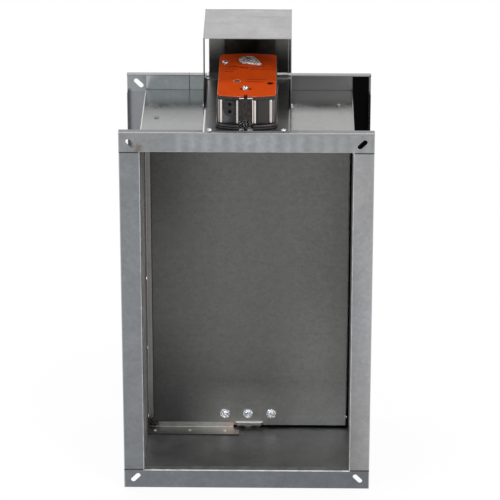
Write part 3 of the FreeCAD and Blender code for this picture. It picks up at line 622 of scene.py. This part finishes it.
# Splice strip. A dark bead of sealant, pressed into the joint between the two lengths of
# the rear frame's upper profile, just behind its face.


def block(low, high):
    """A plain box between two corners, in metres."""
    x0, y0, z0 = low
    x1, y1, z1 = high
    ring = [(x0, y0), (x1, y0), (x1, y1), (x0, y1)]
    return skin(np.array([[(x, y, z) for x, y in ring] for z in (z0, z1)]))


sealant_finish, surface, place = new_finish("joint_sealant")
coat(surface, (0.012, 0.012, 0.012, 1.0), 0.7)
frame_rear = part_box("rear_flange_top_left")[1][1]
piece("splice_strip", block((splice_left, frame_rear - 0.0012, opening_top + 0.0012),
                            (splice_right, frame_rear - 0.0002, frame_top - 0.0003)),
      sealant_finish, "casing")

# Strips that swell in a fire, glued round the blade's edge, and the black foam seal on
# the inner face of the rear right flange.


def mottled(name, colour, grain, low, high, roughness, specular=0.5, metal=0.0, pitted=None):
    """One colour that a noise makes lighter and darker, between a low and a high factor. The
    grain is the noise's scale, detail and stretch. The colour may be a function of the
    place and its three coordinates, and a pitted surface has a bump's strength and depth."""
    material, surface, place = new_finish(name)
    field = noise(place, *grain)
    base = colour(place, *axes(place)) if callable(colour) else colour
    normal = {"Normal": bump(field, *pitted)} if pitted else {}
    coat(surface, tinted(base, varied(field, low, high)), roughness, specular, metal, **normal)
    return material


dress(mottled("black_foam", (0.0016, 0.0016, 0.0016), (900.0, 3.0), 0.6, 1.4, 0.9, 0.06,
              pitted=(0.5, 0.0004)),
      "flange_gasket", "heat_seal_left", "heat_seal_right", "heat_seal_bottom", "heat_seal_top")

# Blade. Two trays of duller sheet on a mineral core, with a channel bracket and a steel
# block at each end. The sheet's tone is painted light and shade, darker towards its left edge.
tongue_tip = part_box("pivot_bracket")[0][1]
tongue_top = 0.0387
least = partial(maths, "MINIMUM")


def painted_light_blade(place, x, y, z):
    """Painted light and shade: the blade's tone rises from its left edge, and is highest low
    down on the right. It also rises along the lower edge, except at the left."""
    at_left = least(span(z, 0.12, 0.22, 0.52, 0.76), span(z, 0.30, 0.42, 0.76, 0.50))
    across = span(x, -0.147, -0.02, at_left, 1.0, "SMOOTHSTEP")
    right = span(x, 0.02, 0.12, 0.0, 1.0, "SMOOTHSTEP")
    down = span(z, 0.06, 0.30, 1.0, 0.0, "SMOOTHSTEP")
    lift = plus(times(right, 0.12), times(right, down, 0.50), 0.93)
    rolled = varied(noise(place, 1.0, 3.0, (4.0, 4.0, 420.0)), 0.975, 1.02)
    edge = times(span(z, 0.045, 0.105, 1.3, 0.0),
                 least(span(x, -0.105, -0.040, 0.0, 1.0), span(x, 0.015, 0.060, 1.0, 0.5)))
    return times(across, lift, rolled, plus(edge, 1.0))


def tongue_marks(place, x, y, z):
    """Painted highlight: the upper face of the tongue is painted bright where it meets the stop,
    and a line of painted shade runs under its upper edge."""
    yield times(inside(z, tongue_top - 0.0006, tongue_top + 0.0003, 0.0001),
                below(y, tongue_tip + 0.0052)), (0.97, 0.96, 0.95), 1.0
    yield times(inside(z, tongue_top - 0.0017, tongue_top - 0.0009, 0.0002),
                below(y, tongue_tip + 0.0004), 0.8), (0.03, 0.028, 0.026)


dress(galvanised("blade_sheet", (0.141, 0.141, 0.136), 0.46, cloud=0.05, crystal=0.05,
                 wave=0.30, speckle=0.09, shade=painted_light_blade),
      "blade_front_skin", "blade_rear_skin")
dress(galvanised("galvanised_bracket", (0.37, 0.335, 0.32), 0.42,
                 marks=tongue_marks), "shaft_bracket", "pivot_bracket")
dress(mottled("mineral_board", (0.62, 0.59, 0.52), (400.0, 4.0), 0.85, 1.1, 0.95), "blade_core")

# Blade bolts. Hexagon bolts with chamfered heads go through both trays and the blocks, on
# plain washers, with a nut behind. They are bright plated steel.
corner = 5.8
bolt_head = 4.0
washer_height = 1.2
nut_height = 5.0


def hex_reach(across, around):
    """A hexagon's radius in each direction: half its width across the flats, divided by the
    cosine of the angle to the nearest flat."""
    turn = np.mod(np.linspace(0.0, 2 * np.pi, around, endpoint=False), np.pi / 3) - np.pi / 6
    return across / 2 / np.cos(turn)


flats = hex_reach(10.0, 48)
bolt_shape = turned([(0.3, -36.4), (2.5, -36.4), (3.0, -35.9), (3.0, -0.1), (4.9, 0.0),
                     (corner, 0.0), (corner, 2.9), (5.5, 3.3), (5.1, 3.7), (4.6, bolt_head),
                     (3.7, bolt_head), (3.4, 3.75), (0.3, 3.7)], 48, limit=flats)
washer_shape = turned([(3.1, 0.0), (7.3, 0.0), (7.5, 0.2), (7.5, 1.0), (7.3, washer_height),
                       (3.3, washer_height), (3.1, 1.0)], 40, True)
nut_shape = turned([(3.1, 0.2), (3.4, 0.0), (4.8, 0.0), (5.3, 0.3), (corner, 0.8),
                    (corner, 4.2), (5.3, 4.7), (4.8, nut_height), (3.4, nut_height),
                    (3.1, 4.8)], 48, True, flats)
bolt_finish = plated("bolt_zinc", (0.90, 0.95, 1.0), 0.20, 0.8, 0.35)
for kind, shape, way, proud, sharp in (("blade_bolt", bolt_shape, "front", bolt_head, 25.0),
                                       ("blade_washer", washer_shape, "front", washer_height, 35.0),
                                       ("blade_nut", nut_shape, "back", nut_height, 25.0)):
    group = [seated(shape, box, way, proud) for box in solid_boxes(kind + "s")]
    piece(kind + "_set", gathered(group), bolt_finish, "blade_unit",
          (kind + "s",), sharp)

# Shaft, pivot pin and clamp sleeve of turned steel. The upper bush is bronze, and the
# lower one is plain steel.
dress(mottled("turned_steel", (0.50, 0.50, 0.49), (1.0, 2.0, (30.0, 30.0, 2400.0)), 0.88, 1.1,
              0.3, metal=1.0),
      "shaft_block", "pivot_block", "drive_shaft", "pivot_pin", "shaft_clamp", "crank_socket",
      "pivot_bush")
dress(mottled("turned_bronze", (0.52, 0.33, 0.13), (1.0, 2.0, (30.0, 30.0, 2000.0)), 0.85, 1.1,
              0.38, metal=1.0), "shaft_bush")

# Bridge. A folded channel across both flange lips that carries the drive. Its deck is
# painted darker beside the drive, more so on the right, as shade and the drive's reflection.
drive_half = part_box("drive_base")[1][0]
deck_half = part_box("drive_bridge")[1][0]


def painted_shade_deck(place, x, y, z):
    """Painted shade and a painted reflection of the drive: the deck's tone rises from the drive to
    the left edge, and is lower on the right.
    """
    near_drive = span(y, -0.060, 0.030, 0.34, 0.09)
    left = span(x, -deck_half, -drive_half, 0.95, near_drive)
    return span(above(x, 0.0), 0.0, 1.0, left, span(y, -0.080, -0.030, 0.45, 0.14))


def deck_marks(place, x, y, z):
    """A painted highlight on the fold along the deck's left side, and painted shade on the right one.
    """
    fold = span(unsigned(x), deck_half - 0.0019, deck_half - 0.0013, 0.0, 1.0)
    zinc = blended(above(x, 0.0), (0.93, 0.93, 0.92), (0.13, 0.13, 0.13))
    yield times(fold, above(z, frame_top - 0.001)), zinc, 0.6


dress(galvanised("galvanised_bridge", (0.42, 0.42, 0.415), 0.36, cloud=0.05, crystal=0.02,
                 shade=painted_shade_deck, marks=deck_marks), "drive_bridge")

# Hood. A sheet cover over the rear of the drive, brighter than the casing and drawn out
# along X by the rolling mill. Inside it is painted dark as shade, darkest in the middle.
hood_low, hood_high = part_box("hood")
shade_band_left = -0.0355
shade_band_right = 0.0389
shade_base = 0.5655
foot_top = 0.5692


def hood_marks(place, x, y, z):
    """Painted shade on the back wall inside and on the edges at its left, and painted light and shade
    on the foot of the back wall.
    """
    shaded_wall = times(inside(y, hood_high[1] - 0.0030, hood_high[1] - 0.0005, 0.0002),
                  above(z, shade_base))
    cheek = inside(x, hood_low[0] + 0.0008, hood_low[0] + 0.0012, 0.0001)
    edge = times(below(y, hood_low[1] + 0.0003), below(x, hood_low[0] + 0.002))
    share = most(shaded_wall, cheek, edge)
    tone = times(span(z, 0.588, 0.617, 0.28, 1.15), span(x, -0.04, 0.04, 1.35, 0.93))
    yield share, tinted((0.20, 0.20, 0.19), tone)
    # The darkest painted shade lies in the middle.
    tone = span(unsigned(x), 0.010, 0.028, 1.0, 3.0)
    yield times(share, inside(x, shade_band_left, shade_band_right, 0.0009)), \
        tinted((0.030, 0.028, 0.025), tone)
    # Painted light on the foot: it is painted bright on the right, and dark as shade elsewhere.
    right = times(above(x, shade_band_right), above(z, shade_base + 0.0005))
    yield times(above(y, hood_high[1] - 0.0030), below(z, foot_top)), \
        blended(right, (0.06, 0.06, 0.06), (0.95, 0.93, 0.93)), 0.9


def dull_front(place, x, y, z):
    """The top of the hood is a little duller along its front edge."""
    return span(y, hood_low[1] + 0.006, hood_low[1] + 0.024, 0.90, 1.0)


hood_finish = galvanised("galvanised_hood", (0.40, 0.395, 0.40), 0.34, cloud=0.10, crystal=0.04,
                         streak=(9.0, 420.0, 420.0), wave=0.15, shade=dull_front,
                         marks=hood_marks)
dress(hood_finish, "hood")
corner_low = (hood_high[0] - 0.0046, hood_high[1] - 0.0020, shade_base - 0.0003)
corner_high = (hood_high[0] - 0.0004, hood_high[1] - 0.0010, hood_high[2] - 0.0020)
piece("hood_corner_strip", block(corner_low, corner_high), hood_finish, "casing")

# Screws. Pan-head screws with a cross recess hold the bridge, the hood, the drive and the
# drive's cover. They are plated steel like the rivets.
shank = 2.0


def cross_screw(head, dome, length, around=64):
    """A round-head screw on a polar grid, in millimetres. The top is half an ellipsoid, and
    it drops by the recess depth inside a cross: where the smaller of |x| and |y| is less
    than the arm's half width and the larger less than its length."""
    under = [(0.2, -length), (shank * 0.8, -length), (shank, -length + 0.5), (shank, 0.0),
             (head * 0.96, 0.0), (head, 0.15), (head, 0.3 * dome)]
    lean = np.linspace(0.15, 1.0, 20) * np.pi / 2
    domed = np.stack([head * np.cos(lean) + 0.04, dome * (0.3 + 0.7 * np.sin(lean))], axis=-1)
    radius, level = np.concatenate([under, domed]).T[..., None]
    sides = abs(radius[..., None] * circle(around))
    arm = np.clip((0.14 * head - sides.min(axis=-1)) / 0.15 + 0.5, 0.0, 1.0)
    arm = arm * np.clip((0.62 * head - sides.max(axis=-1)) / 0.4, 0.0, 1.0)
    top = np.arange(len(radius))[:, None] >= len(under)
    return ringed(radius, level - np.where(top, 0.4 * dome * arm, 0.0))


seat_dome = 2.2
cover_dome = 4.8
recess_radius = 0.0030
recess_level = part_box("label_plate")[1][2] + 0.6 * cover_dome / 1000.0 + 0.0003
recesses = [((*((low + high) / 2)[:2], recess_level), recess_radius)
            for low, high in solid_boxes("cover_screws")]
screw_finish = plated("screw_zinc", (0.62, 0.61, 0.62), 0.34, 1.0, 0.16, recesses)
screw_sets = {"bridge_screws": (3.9, seat_dome, 2.0), "hood_screws": (3.9, seat_dome, 2.0),
              "cover_screws": (4.6, cover_dome, 3.0), "drive_screws": (3.9, seat_dome, 4.75)}
for group, (head, dome, length) in screw_sets.items():
    shape = cross_screw(head, dome, length)
    screws = []
    for low, high in solid_boxes(group):
        way = "down" if group == "drive_screws" else "up"
        if high[0] - low[0] < 0.9 * (high[1] - low[1]):
            way = "right" if low[0] + high[0] > 0 else "left"
        screws.append(seated(shape, (low, high), way, seat_dome))
    piece(group[:-1] + "_set", gathered(screws), screw_finish, "casing",
          (group,))

# Drive base and housing. Glossy black moulded shells with bowed ends. The housing has a
# sunk bay each side of the clip, and the base is wider, with a groove and a rounded rim.
housing_low, housing_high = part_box("drive_housing")
base_low, base_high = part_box("drive_base")
grommet_low, grommet_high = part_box("cable_grommet")
clip_low, clip_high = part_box("front_clip")
drive_front = -0.115
drive_bow = 0.006
drive_corner = 0.008
bays = ((-0.0330, -0.0152), (0.0140, 0.0312))
bay_margin = 0.0005
bay_edge = 0.0014
clip_gap = 0.0003
clip_edge = 0.0006
wall = 0.005


def drive_plan(out, chin=0.0, fine=72):
    """Outline of a layer of the drive, anticlockwise, with the outward direction at each
    point. Each end is a wide arc, and a small arc joins it to the straight side. Metres."""
    half = housing_high[0] + out

    def quarter(bow, count):
        """Right half of one end: places across and behind the tip, and the direction."""
        wide = (half * half + bow * bow) / (2 * bow)
        corner = drive_corner + out
        set_back = wide - math.sqrt((wide - corner) ** 2 - (half - corner) ** 2)
        lean = math.atan2(half - corner, wide - set_back)
        angle = np.concatenate([np.linspace(0.0, lean, count),
                                np.linspace(lean, np.pi / 2, 12)[1:]])
        bowed = angle <= lean
        radius = np.where(bowed, wide, corner)
        x = np.where(bowed, 0.0, half - corner) + radius * np.sin(angle)
        y = np.where(bowed, wide, set_back) - radius * np.cos(angle)
        return np.stack([x, y], axis=-1), np.stack([np.sin(angle), -np.cos(angle)], axis=-1)

    tip, turn = quarter(drive_bow + chin, fine)
    tail, tail_turn = quarter(drive_bow, 14)
    right = np.concatenate([tip + (0.0, drive_front - out - chin),
                            tail[::-1] * (1, -1) + (0.0, housing_high[1] + out)])
    way = np.concatenate([turn, tail_turn[::-1] * (1, -1)])
    return tuple(np.concatenate([side, side[-2:0:-1] * (-1, 1)]) for side in (right, way))


def layer_rows(plan, way, steps):
    """Rings on a plan outline: each step is an inset and a height, in metres."""
    return np.stack([np.concatenate([plan - way * inset, np.full((len(plan), 1), height)], axis=1)
                     for inset, height in steps])


def sunk(rows, x0, x1, z0, z1, bed, edge):
    """Pushes the front of a layer back to a flat bed inside a window with soft edges: the
    share is the smooth step of the distance to the nearest side of the window."""
    x, y, z = rows[..., 0], rows[..., 1], rows[..., 2]
    near = np.minimum(np.minimum(x - x0, x1 - x), np.minimum(z - z0, z1 - z))
    share = np.clip(near / edge, 0.0, 1.0)
    share = share * share * (3.0 - 2.0 * share) * ((y < bed) & (z > 0.0))
    moved = rows.copy()
    moved[..., 1] = y + (bed - y) * share
    return moved


def middle_of(name):
    """The middle of a CAD node's box."""
    return np.mean(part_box(name), axis=0)


def clip_channel(rows):
    """The flat channel behind the clip, over the full height of a layer."""
    return sunk(rows, clip_low[0] - clip_gap, clip_high[0] + clip_gap, base_low[2] - 1.0,
                housing_high[2] + 1.0, clip_high[1], clip_edge)


plastic_finish, surface, place = new_finish("drive_plastic")
x, y, z = axes(place)
# Painted shade: the crease at the foot of the base, the groove in its rim and the seam under the
# housing are painted near black, with less gloss.
painted_crease_shade = most(span(z, base_low[2] + 0.0012, base_low[2] + 0.0018, 1.0, 0.0),
               inside(z, base_low[2] + 0.0034, base_low[2] + 0.0047, 0.0003),
               inside(z, housing_low[2] - 0.0006, housing_low[2] + 0.0008, 0.0004))
# Painted reflection: a pale patch on the left bay.
painted_reflection_patch = times(blot(place, (-0.0335, grommet_high[1], 0.5800), 0.012, 0.3), 0.8)
black = tinted((0.018, 0.018, 0.018), varied(noise(place, 120.0, 3.0), 0.5, 1.6))
black = blended(span(x, 0.008, 0.016, 0.0, 1.0), black, (0.030, 0.026, 0.026))
black = blended(painted_reflection_patch, black, (0.085, 0.085, 0.088))
coat(surface, blended(painted_crease_shade, black, (0.008, 0.008, 0.008)), 0.20,
     span(painted_crease_shade, 0.0, 1.0, 0.30, 0.12), Normal=bump(noise(place, 260.0), 0.15, 0.0006))
levels = housing_low[2] + np.array([0.0, 0.3, 0.8, 1.2, 1.6, 2.2, 3.2, 6.0, 12.0, 18.0, 24.0, 30.0,
                                    33.4, 34.2, 34.8, 35.2, 35.6, 36.1, 36.5]) / 1000.0
plan, way = drive_plan(0.0)
housing_rows = layer_rows(plan, way, [(0.0, level) for level in levels])
for x0, x1 in bays:
    housing_rows = sunk(housing_rows, x0, x1, levels[0] + bay_margin, levels[-1] - bay_margin,
                        grommet_high[1], bay_edge)
inner_rows = layer_rows(plan, way, [(wall, levels[-1]), (wall, levels[0])])
piece("drive_housing_shell", skin(np.concatenate([clip_channel(housing_rows), inner_rows]), True),
      plastic_finish, "casing", ("drive_housing",), 30.0)
shaft_y = middle_of("drive_shaft")[1]
bore_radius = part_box("shaft_clamp")[1][0] + 0.0004
rim_steps = [(0.0006, 0.0), (0.0001, 0.0004), (0.0, 0.0008), (0.0, 0.0030), (0.0001, 0.0034),
             (0.0008, 0.0036), (0.0009, 0.0042), (0.0004, 0.0045), (0.0004, 0.0056),
             (0.0008, 0.0064), (0.0016, 0.0070), (0.0026, 0.0074), (0.0036, 0.0075)]
base_rows = clip_channel(layer_rows(*drive_plan(base_high[0] - housing_high[0], 0.0035),
                                    [(inset, base_low[2] + rise) for inset, rise in rim_steps]))
from_axis = base_rows[-1, :, :2] - (0.0, shaft_y)
bore = from_axis / np.linalg.norm(from_axis, axis=1, keepdims=True) * bore_radius + (0.0, shaft_y)
bore_rows = layer_rows(bore, 0.0, [(0.0, base_high[2]), (0.0, base_low[2])])
piece("drive_base_shell", skin(np.concatenate([base_rows, bore_rows]), True), plastic_finish,
      "casing", ("drive_base",), 30.0)
dress(plastic_finish, "drive_cover")

# Lock knob. A small black button of moulded plastic with a screwdriver groove. It turns in
# a seat in the drive's cover, sunk in the label.
dress(mottled("lock_plastic", (0.0045, 0.0040, 0.0038), (900.0, 3.0), 0.6, 1.6, 0.5, 0.02),
      "lock_knob")

# Front clip. A folded strip in the middle of the drive's front. Its two lips carry painted
# highlights of bright metal, its web is dull brown and its foot is rough and black.
clip_finish, surface, place = new_finish("clip_metal")
x, y, z = axes(place)
lip = below(y, drive_front - 0.0012)
foot = span(z, 0.5735, 0.5755, 1.0, 0.0)
ground = noise(place, 900.0, 4.0)
web = tinted((0.031, 0.027, 0.025), varied(noise(place, 1.0, 3.0, (500.0, 500.0, 260.0)), 0.5, 1.5))
black = tinted((0.004, 0.004, 0.004), span(ground, 0.54, 0.62, 0.6, 60.0))
# Painted highlights: bright metal along the top of the lips and in patches low on them.
high_lip = times(lip, above(z, clip_high[2] - 0.0007))
low_lip = times(lip, foot, span(ground, 0.42, 0.54, 0.0, 0.6))
bright = most(high_lip, low_lip)
coat(surface, blended(bright, blended(foot, web, black), (0.88, 0.88, 0.87)), 0.42, 0.10,
     bright, Normal=bump(ground, times(foot, 0.9), 0.002))
dress(clip_finish, "front_clip")

# Bright strips. Polished bars with a flat face down the front of the housing, with blunt
# ends, and a thin one along the clip's right edge. Their brightness is a painted highlight.
highlight_tones = ((-0.0376, 0.84), (-0.025, 0.60), (0.0, 1.12), (0.0103, 0.92), (0.025, 0.66),
               (0.037, 0.30))


def each_strip(place, x, y, z):
    """The painted highlights differ in tone: from left to right it steps to the next one at each
    start.
    """
    factor = last = 0.46
    for start, tone in highlight_tones:
        factor = plus(times(above(x, start), tone - last), factor)
        last = tone
    return tinted((0.88, 0.81, 0.77), factor)


def flat_bar(x0, x1, back, front, low, high, around=28):
    """An upright bar with a flat face and rounded sides: its section is a superellipse, with
    the sine taken to a small power. It is drawn in over its blunt ends."""
    rise = np.array([0.0, 0.02, 0.06, 0.94, 0.98, 1.0])
    size = np.array([0.55, 0.85, 1.0, 1.0, 0.85, 0.55])
    c, s = (np.sign(turn) * abs(turn) ** power for turn, power in zip(circle(around).T, (0.6, 0.3)))
    x = (x0 + x1) / 2 + np.outer(size, c) * (x1 - x0) / 2
    y = back + np.outer(size, s) * (back - front)
    z = np.repeat((low + (high - low) * rise)[:, None], around, axis=1)
    return skin(np.stack([x, y, z], axis=-1))


highlight_strip_finish = mottled("bright_strip", each_strip, (300.0,), 0.96, 1.03, 0.34, metal=1.0)
strips = []
for low, high in solid_boxes("front_strips"):
    beside_clip = 0.0003 if 0.0 < low[0] - clip_high[0] < 0.005 else 0.0
    wide = 0.0003 if high[0] - low[0] > 0.004 else 0.0
    inward = 0.0009 if low[0] < -0.0385 else 0.0
    strips.append(flat_bar(low[0] + beside_clip + inward, high[0] - wide + inward,
                           high[1] - 0.0004, low[1], low[2] + 0.0003, high[2] - 0.0006))
piece("front_strip_set", gathered(strips), highlight_strip_finish, "casing",
      ("front_strips",))
piece("clip_edge_line", flat_bar(clip_high[0] - 0.0003, clip_high[0] + 0.0011,
                                 drive_front + 0.0012, drive_front - 0.0008,
                                 housing_low[2] + 0.0003, housing_high[2] - 0.0002),
      highlight_strip_finish, "casing")

# Label plate. A printed orange sheet with a thin pale rim, whose paleness is a painted highlight.
# Beside the shaft it carries a plain angle scale from 0 to 90 for the pointer.
label_low, label_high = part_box("label_plate")
rim_radius = 0.00035
notch_x = -0.0012
notch_half = 0.0026
ink_height = 0.00006
ink_low = label_high[2] - 0.00005
ink_high = label_high[2] + ink_height
pointer_turn = -46.5
scale_radius = 0.0277


def orange_print_and_painted_light(place, x, y, z):
    """Painted light under the hood, where its shadow falls, makes the printed orange lighter there,
    and painted shade makes it browner towards the rear.
    """
    warm = blended(span(y, 0.020, 0.066, 0.0, 1.0, "SMOOTHSTEP"), (0.44, 0.047, 0.0040),
                   (0.31, 0.034, 0.0070))
    return tinted(warm, span(y, -0.044, -0.018, 0.96, 1.55, "SMOOTHSTEP"))


dress(mottled("orange_label", orange_print_and_painted_light, (60.0, 3.0), 0.94, 1.06, 0.5, 0.03), "label_plate")
# The rim's pale colour is a painted highlight along the plate's edge, painted dark towards the rear
# as shade.
rim_finish, surface, place = new_finish("label_rim")
pale = blended(span(noise(place, 200.0, 3.0), 0.4, 0.6, 0.0, 1.0), (0.50, 0.28, 0.20),
               (0.42, 0.10, 0.04))
rearward = span(axes(place)[1], 0.0, 0.05, 0.0, 1.0)
coat(surface, blended(rearward, pale, (0.05, 0.012, 0.008)), 0.5, 0.1)
rim_rows = layer_rows(*drive_plan(-0.0007 - rim_radius),
                      [(-rim_radius * a, label_high[2] + rim_radius * (b - 0.5))
                       for a, b in circle(10)])
keep_out = (abs(rim_rows[..., 0] - notch_x) < notch_half) & (rim_rows[..., 1] < 0.0)
rim_rows[..., 2] = np.where(keep_out, label_low[2] - 0.0006, rim_rows[..., 2])
piece("label_rim", skin(rim_rows, True), rim_finish, "casing")


def arc_plate(centre, inner, outer, first, last, count=24):
    """A thin flat plate between two radii and two angles, in metres and degrees: a closed
    strip whose rings run along the arc, each ring a small upright rectangle."""
    angle = np.radians(np.linspace(first, last, count))[:, None]
    radius = np.array([inner, outer, outer, inner])
    z = np.repeat([[ink_low, ink_low, ink_high, ink_high]], count, axis=0)
    rows = np.stack([centre[0] + radius * np.cos(angle), centre[1] + radius * np.sin(angle), z],
                    axis=-1)
    return skin(rows[:, ::-1])


ink_finish = mottled("dark_print", (0.10, 0.009, 0.004), (700.0,), 0.6, 1.4, 0.6, 0.05)
shaft_place = (0.0, shaft_y)
scale = [arc_plate(shaft_place, scale_radius, scale_radius + 0.0012, pointer_turn - 90.0,
                   pointer_turn)]
for step in range(7):
    middle = pointer_turn - 15.0 * step
    reach = 0.0040 if step % 3 == 0 else 0.0028
    scale.append(arc_plate(shaft_place, scale_radius, scale_radius + reach, middle - 1.2,
                           middle + 1.2, 2))
piece("angle_scale", gathered(scale), ink_finish, "casing")
ruled_lines = [(-0.0330, 0.0000, 0.0085), (-0.0330, -0.0150, -0.0005), (0.0040, 0.0310, -0.0005),
               (-0.0330, -0.0205, -0.0110), (-0.0010, 0.0270, -0.0440), (-0.0010, 0.0235, -0.0530)]
rules = [block((x0, y - 0.0008, ink_low), (x1, y + 0.0008, ink_high)) for x0, x1, y in ruled_lines]
piece("label_rules", gathered(rules), ink_finish, "casing")
lock_place = middle_of("lock_knob")
lock_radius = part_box("lock_knob")[1][0] - lock_place[0]
lock_ring = arc_plate(lock_place, lock_radius + 0.0001, lock_radius + 0.0013, 0.0, 352.5, 48)
screw_x, screw_y = min((sum(box)[:2] / 2 for box in solid_boxes("cover_screws")),
                       key=lambda middle: middle[1])
wings = [block((screw_x + a, screw_y - 0.0022, ink_low), (screw_x + b, screw_y + 0.0022, ink_high))
         for a, b in ((-0.0082, -0.0046), (0.0046, 0.0082))]
piece("label_marks", gathered([lock_ring] + wings),
      mottled("black_print", (0.006, 0.003, 0.003), (700.0,), 0.6, 1.4, 0.6, 0.02),
      "casing")


def printed(words, centre, size):
    """Plain figures as a flat mesh on the label, centred on one place."""
    curve = bpy.data.curves.new("figure", "FONT")
    curve.body = words
    curve.size = size
    curve.extrude = ink_height / 2
    curve.align_x = "CENTER"
    curve.align_y = "CENTER"
    carrier = new_object("figure", curve)
    bpy.context.view_layer.update()
    mesh = bpy.data.meshes.new_from_object(carrier)
    bpy.data.objects.remove(carrier)
    places = mesh_points(mesh) + (*centre, label_high[2] + ink_height / 2)
    mesh.vertices.foreach_set("co", places.reshape(-1))
    mesh.update()
    mesh.materials.clear()
    settled("scale_figure_" + words, mesh, ink_finish, "casing")


for words, turn in (("0", pointer_turn), ("90", pointer_turn - 90.0)):
    out = scale_radius + 0.0062
    printed(words, (out * math.cos(math.radians(turn)),
                    shaft_y + out * math.sin(math.radians(turn))), 0.0055)

# Cable grommet. An oval rubber plug in the left bay, with a raised bead round it and two
# blind cable holes.
hole_pitch = 0.011
hole_radius = 0.0024
plug_x, plug_z = middle_of("cable_grommet")[[0, 2]]
plug_half = grommet_high[0] - plug_x
end_rise = grommet_high[2] - plug_z - plug_half
rubber_finish, surface, place = new_finish("grommet_rubber")
rubber = tinted((0.036, 0.036, 0.037), varied(noise(place, 400.0, 3.0), 0.7, 1.3))
# Painted shade: the two cable holes are painted near black.
for end in (-1, 1):
    centre = (plug_x, grommet_low[1] + 0.0012, plug_z + end * hole_pitch / 2)
    hole = span(distance(place, centre), hole_radius, hole_radius + 0.0004, 1.0, 0.0)
    rubber = blended(hole, rubber, (0.0008, 0.0008, 0.0008))
coat(surface, rubber, 0.55, 0.08)


def hull_rows(discs, steps, around):
    """Rings round a belt of discs. In each direction the outline is the support point of the
    discs, the one whose centre and radius reach furthest; a step is an inset and a height."""
    way = circle(around)
    centres, radii = np.split(np.array(discs), [2], axis=1)
    best = (centres @ way.T + radii).argmax(axis=0)
    return layer_rows(centres[best] + way * radii[best], way, steps)


bead = [(0.0, 0.0), (0.0, 0.0010), (0.0004, 0.0014), (0.0010, 0.0016), (0.0016, 0.0014),
        (0.0020, 0.0010), (0.0026, 0.0009)]
bead += [(inset, 0.0009) for inset in np.linspace(0.0032, plug_half - 0.0001, 16)]
rows = hull_rows([(0.0, -end_rise, plug_half), (0.0, end_rise, plug_half)], bead, 96)
pit = np.hypot(rows[..., 0], abs(rows[..., 1]) - hole_pitch / 2)
rows[..., 2] -= 0.0008 * np.clip((hole_radius + 0.0002 - pit) / 0.0003, 0.0, 1.0) * (rows[..., 2] > 0)
points, faces = skin(rows)
points = points @ facing["front"].T + (plug_x, grommet_high[1], plug_z)
piece("cable_grommet_plug", (points, faces), rubber_finish, "casing",
      ("cable_grommet",))

# Crank socket rim. A thin pale ring round the hexagon socket, drawn out to the left into
# a drop.
socket_x, socket_y = middle_of("crank_socket")[:2]
socket_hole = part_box("crank_socket")[1][0] - socket_x + 0.0003
drop = [(0.0, 0.0, socket_hole + 0.0009), (-0.0065, 0.0, 0.0003)]
outer = hull_rows(drop, [(0.0003, 0.0), (0.0, 0.0001), (0.0001, 0.0003), (0.0004, 0.0004)], 64)
hole = layer_rows(circle(64) * socket_hole, 0.0, [(0.0, 0.0003), (0.0, 0.0)])
rows = np.concatenate([outer, hole]) + (socket_x, socket_y, label_high[2])
piece("socket_rim", skin(rows, True), rim_finish, "casing")

# Position pointer. A drop-shaped casting of zinc on the shaft, with rounded edges, a low
# boss and a centre hole painted dark as shade. Its skin is pitted.
pointer_low, pointer_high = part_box("position_pointer")
thickness = pointer_high[2] - pointer_low[2]
pointer_discs = [(0.0, 0.0, 0.0130), (-0.0050, -0.0070, 0.0065), (0.0180, -0.0190, 0.0015)]
pointer_hole = 0.0020
boss_radius = 0.0072
cast_finish, surface, place = new_finish("cast_zinc")
pits = noise(place, 380.0, 4.0)
cast = blended(span(pits, 0.40, 0.58, 0.0, 1.0), (0.20, 0.145, 0.135), (0.85, 0.82, 0.81))
# Painted shade: the centre hole is painted near black.
axis_end = distance(place, (0.0, shaft_y, pointer_high[2]))
cast = blended(span(axis_end, 0.0026, 0.0033, 1.0, 0.0), cast, (0.004, 0.004, 0.004))
coat(surface, cast, 0.36, 0.15, 0.25, Normal=bump(pits, 0.5, 0.0006))
outer = hull_rows(pointer_discs, [(0.0004, 0.0), (0.0, 0.0004), (0.0, thickness - 0.0011),
                                  (0.0003, thickness - 0.0004), (0.0010, thickness)], 144)
rim_plan = outer[-1, :, :2]
hole_plan = circle(144) * pointer_hole
boss_rows = []
for share in np.linspace(0.1, 1.0, 14):
    plan = rim_plan * (1.0 - share) + hole_plan * share
    far = np.linalg.norm(plan, axis=1, keepdims=True)
    lift = 0.0009 * np.clip((boss_radius - far) / 0.0022, 0.0, 1.0)
    dish = 0.0004 * np.clip((far - boss_radius) / 0.003, 0.0, 1.0) * (1.0 - share)
    boss_rows.append(np.concatenate([plan, thickness + lift - dish], axis=1))
rows = np.concatenate([outer, boss_rows, layer_rows(hole_plan, 0.0, [(0.0, 0.0)])])
piece("position_pointer_casting", skin(rows + (0.0, shaft_y, pointer_low[2]), True),
      cast_finish, "blade_unit", ("position_pointer",), 30.0)
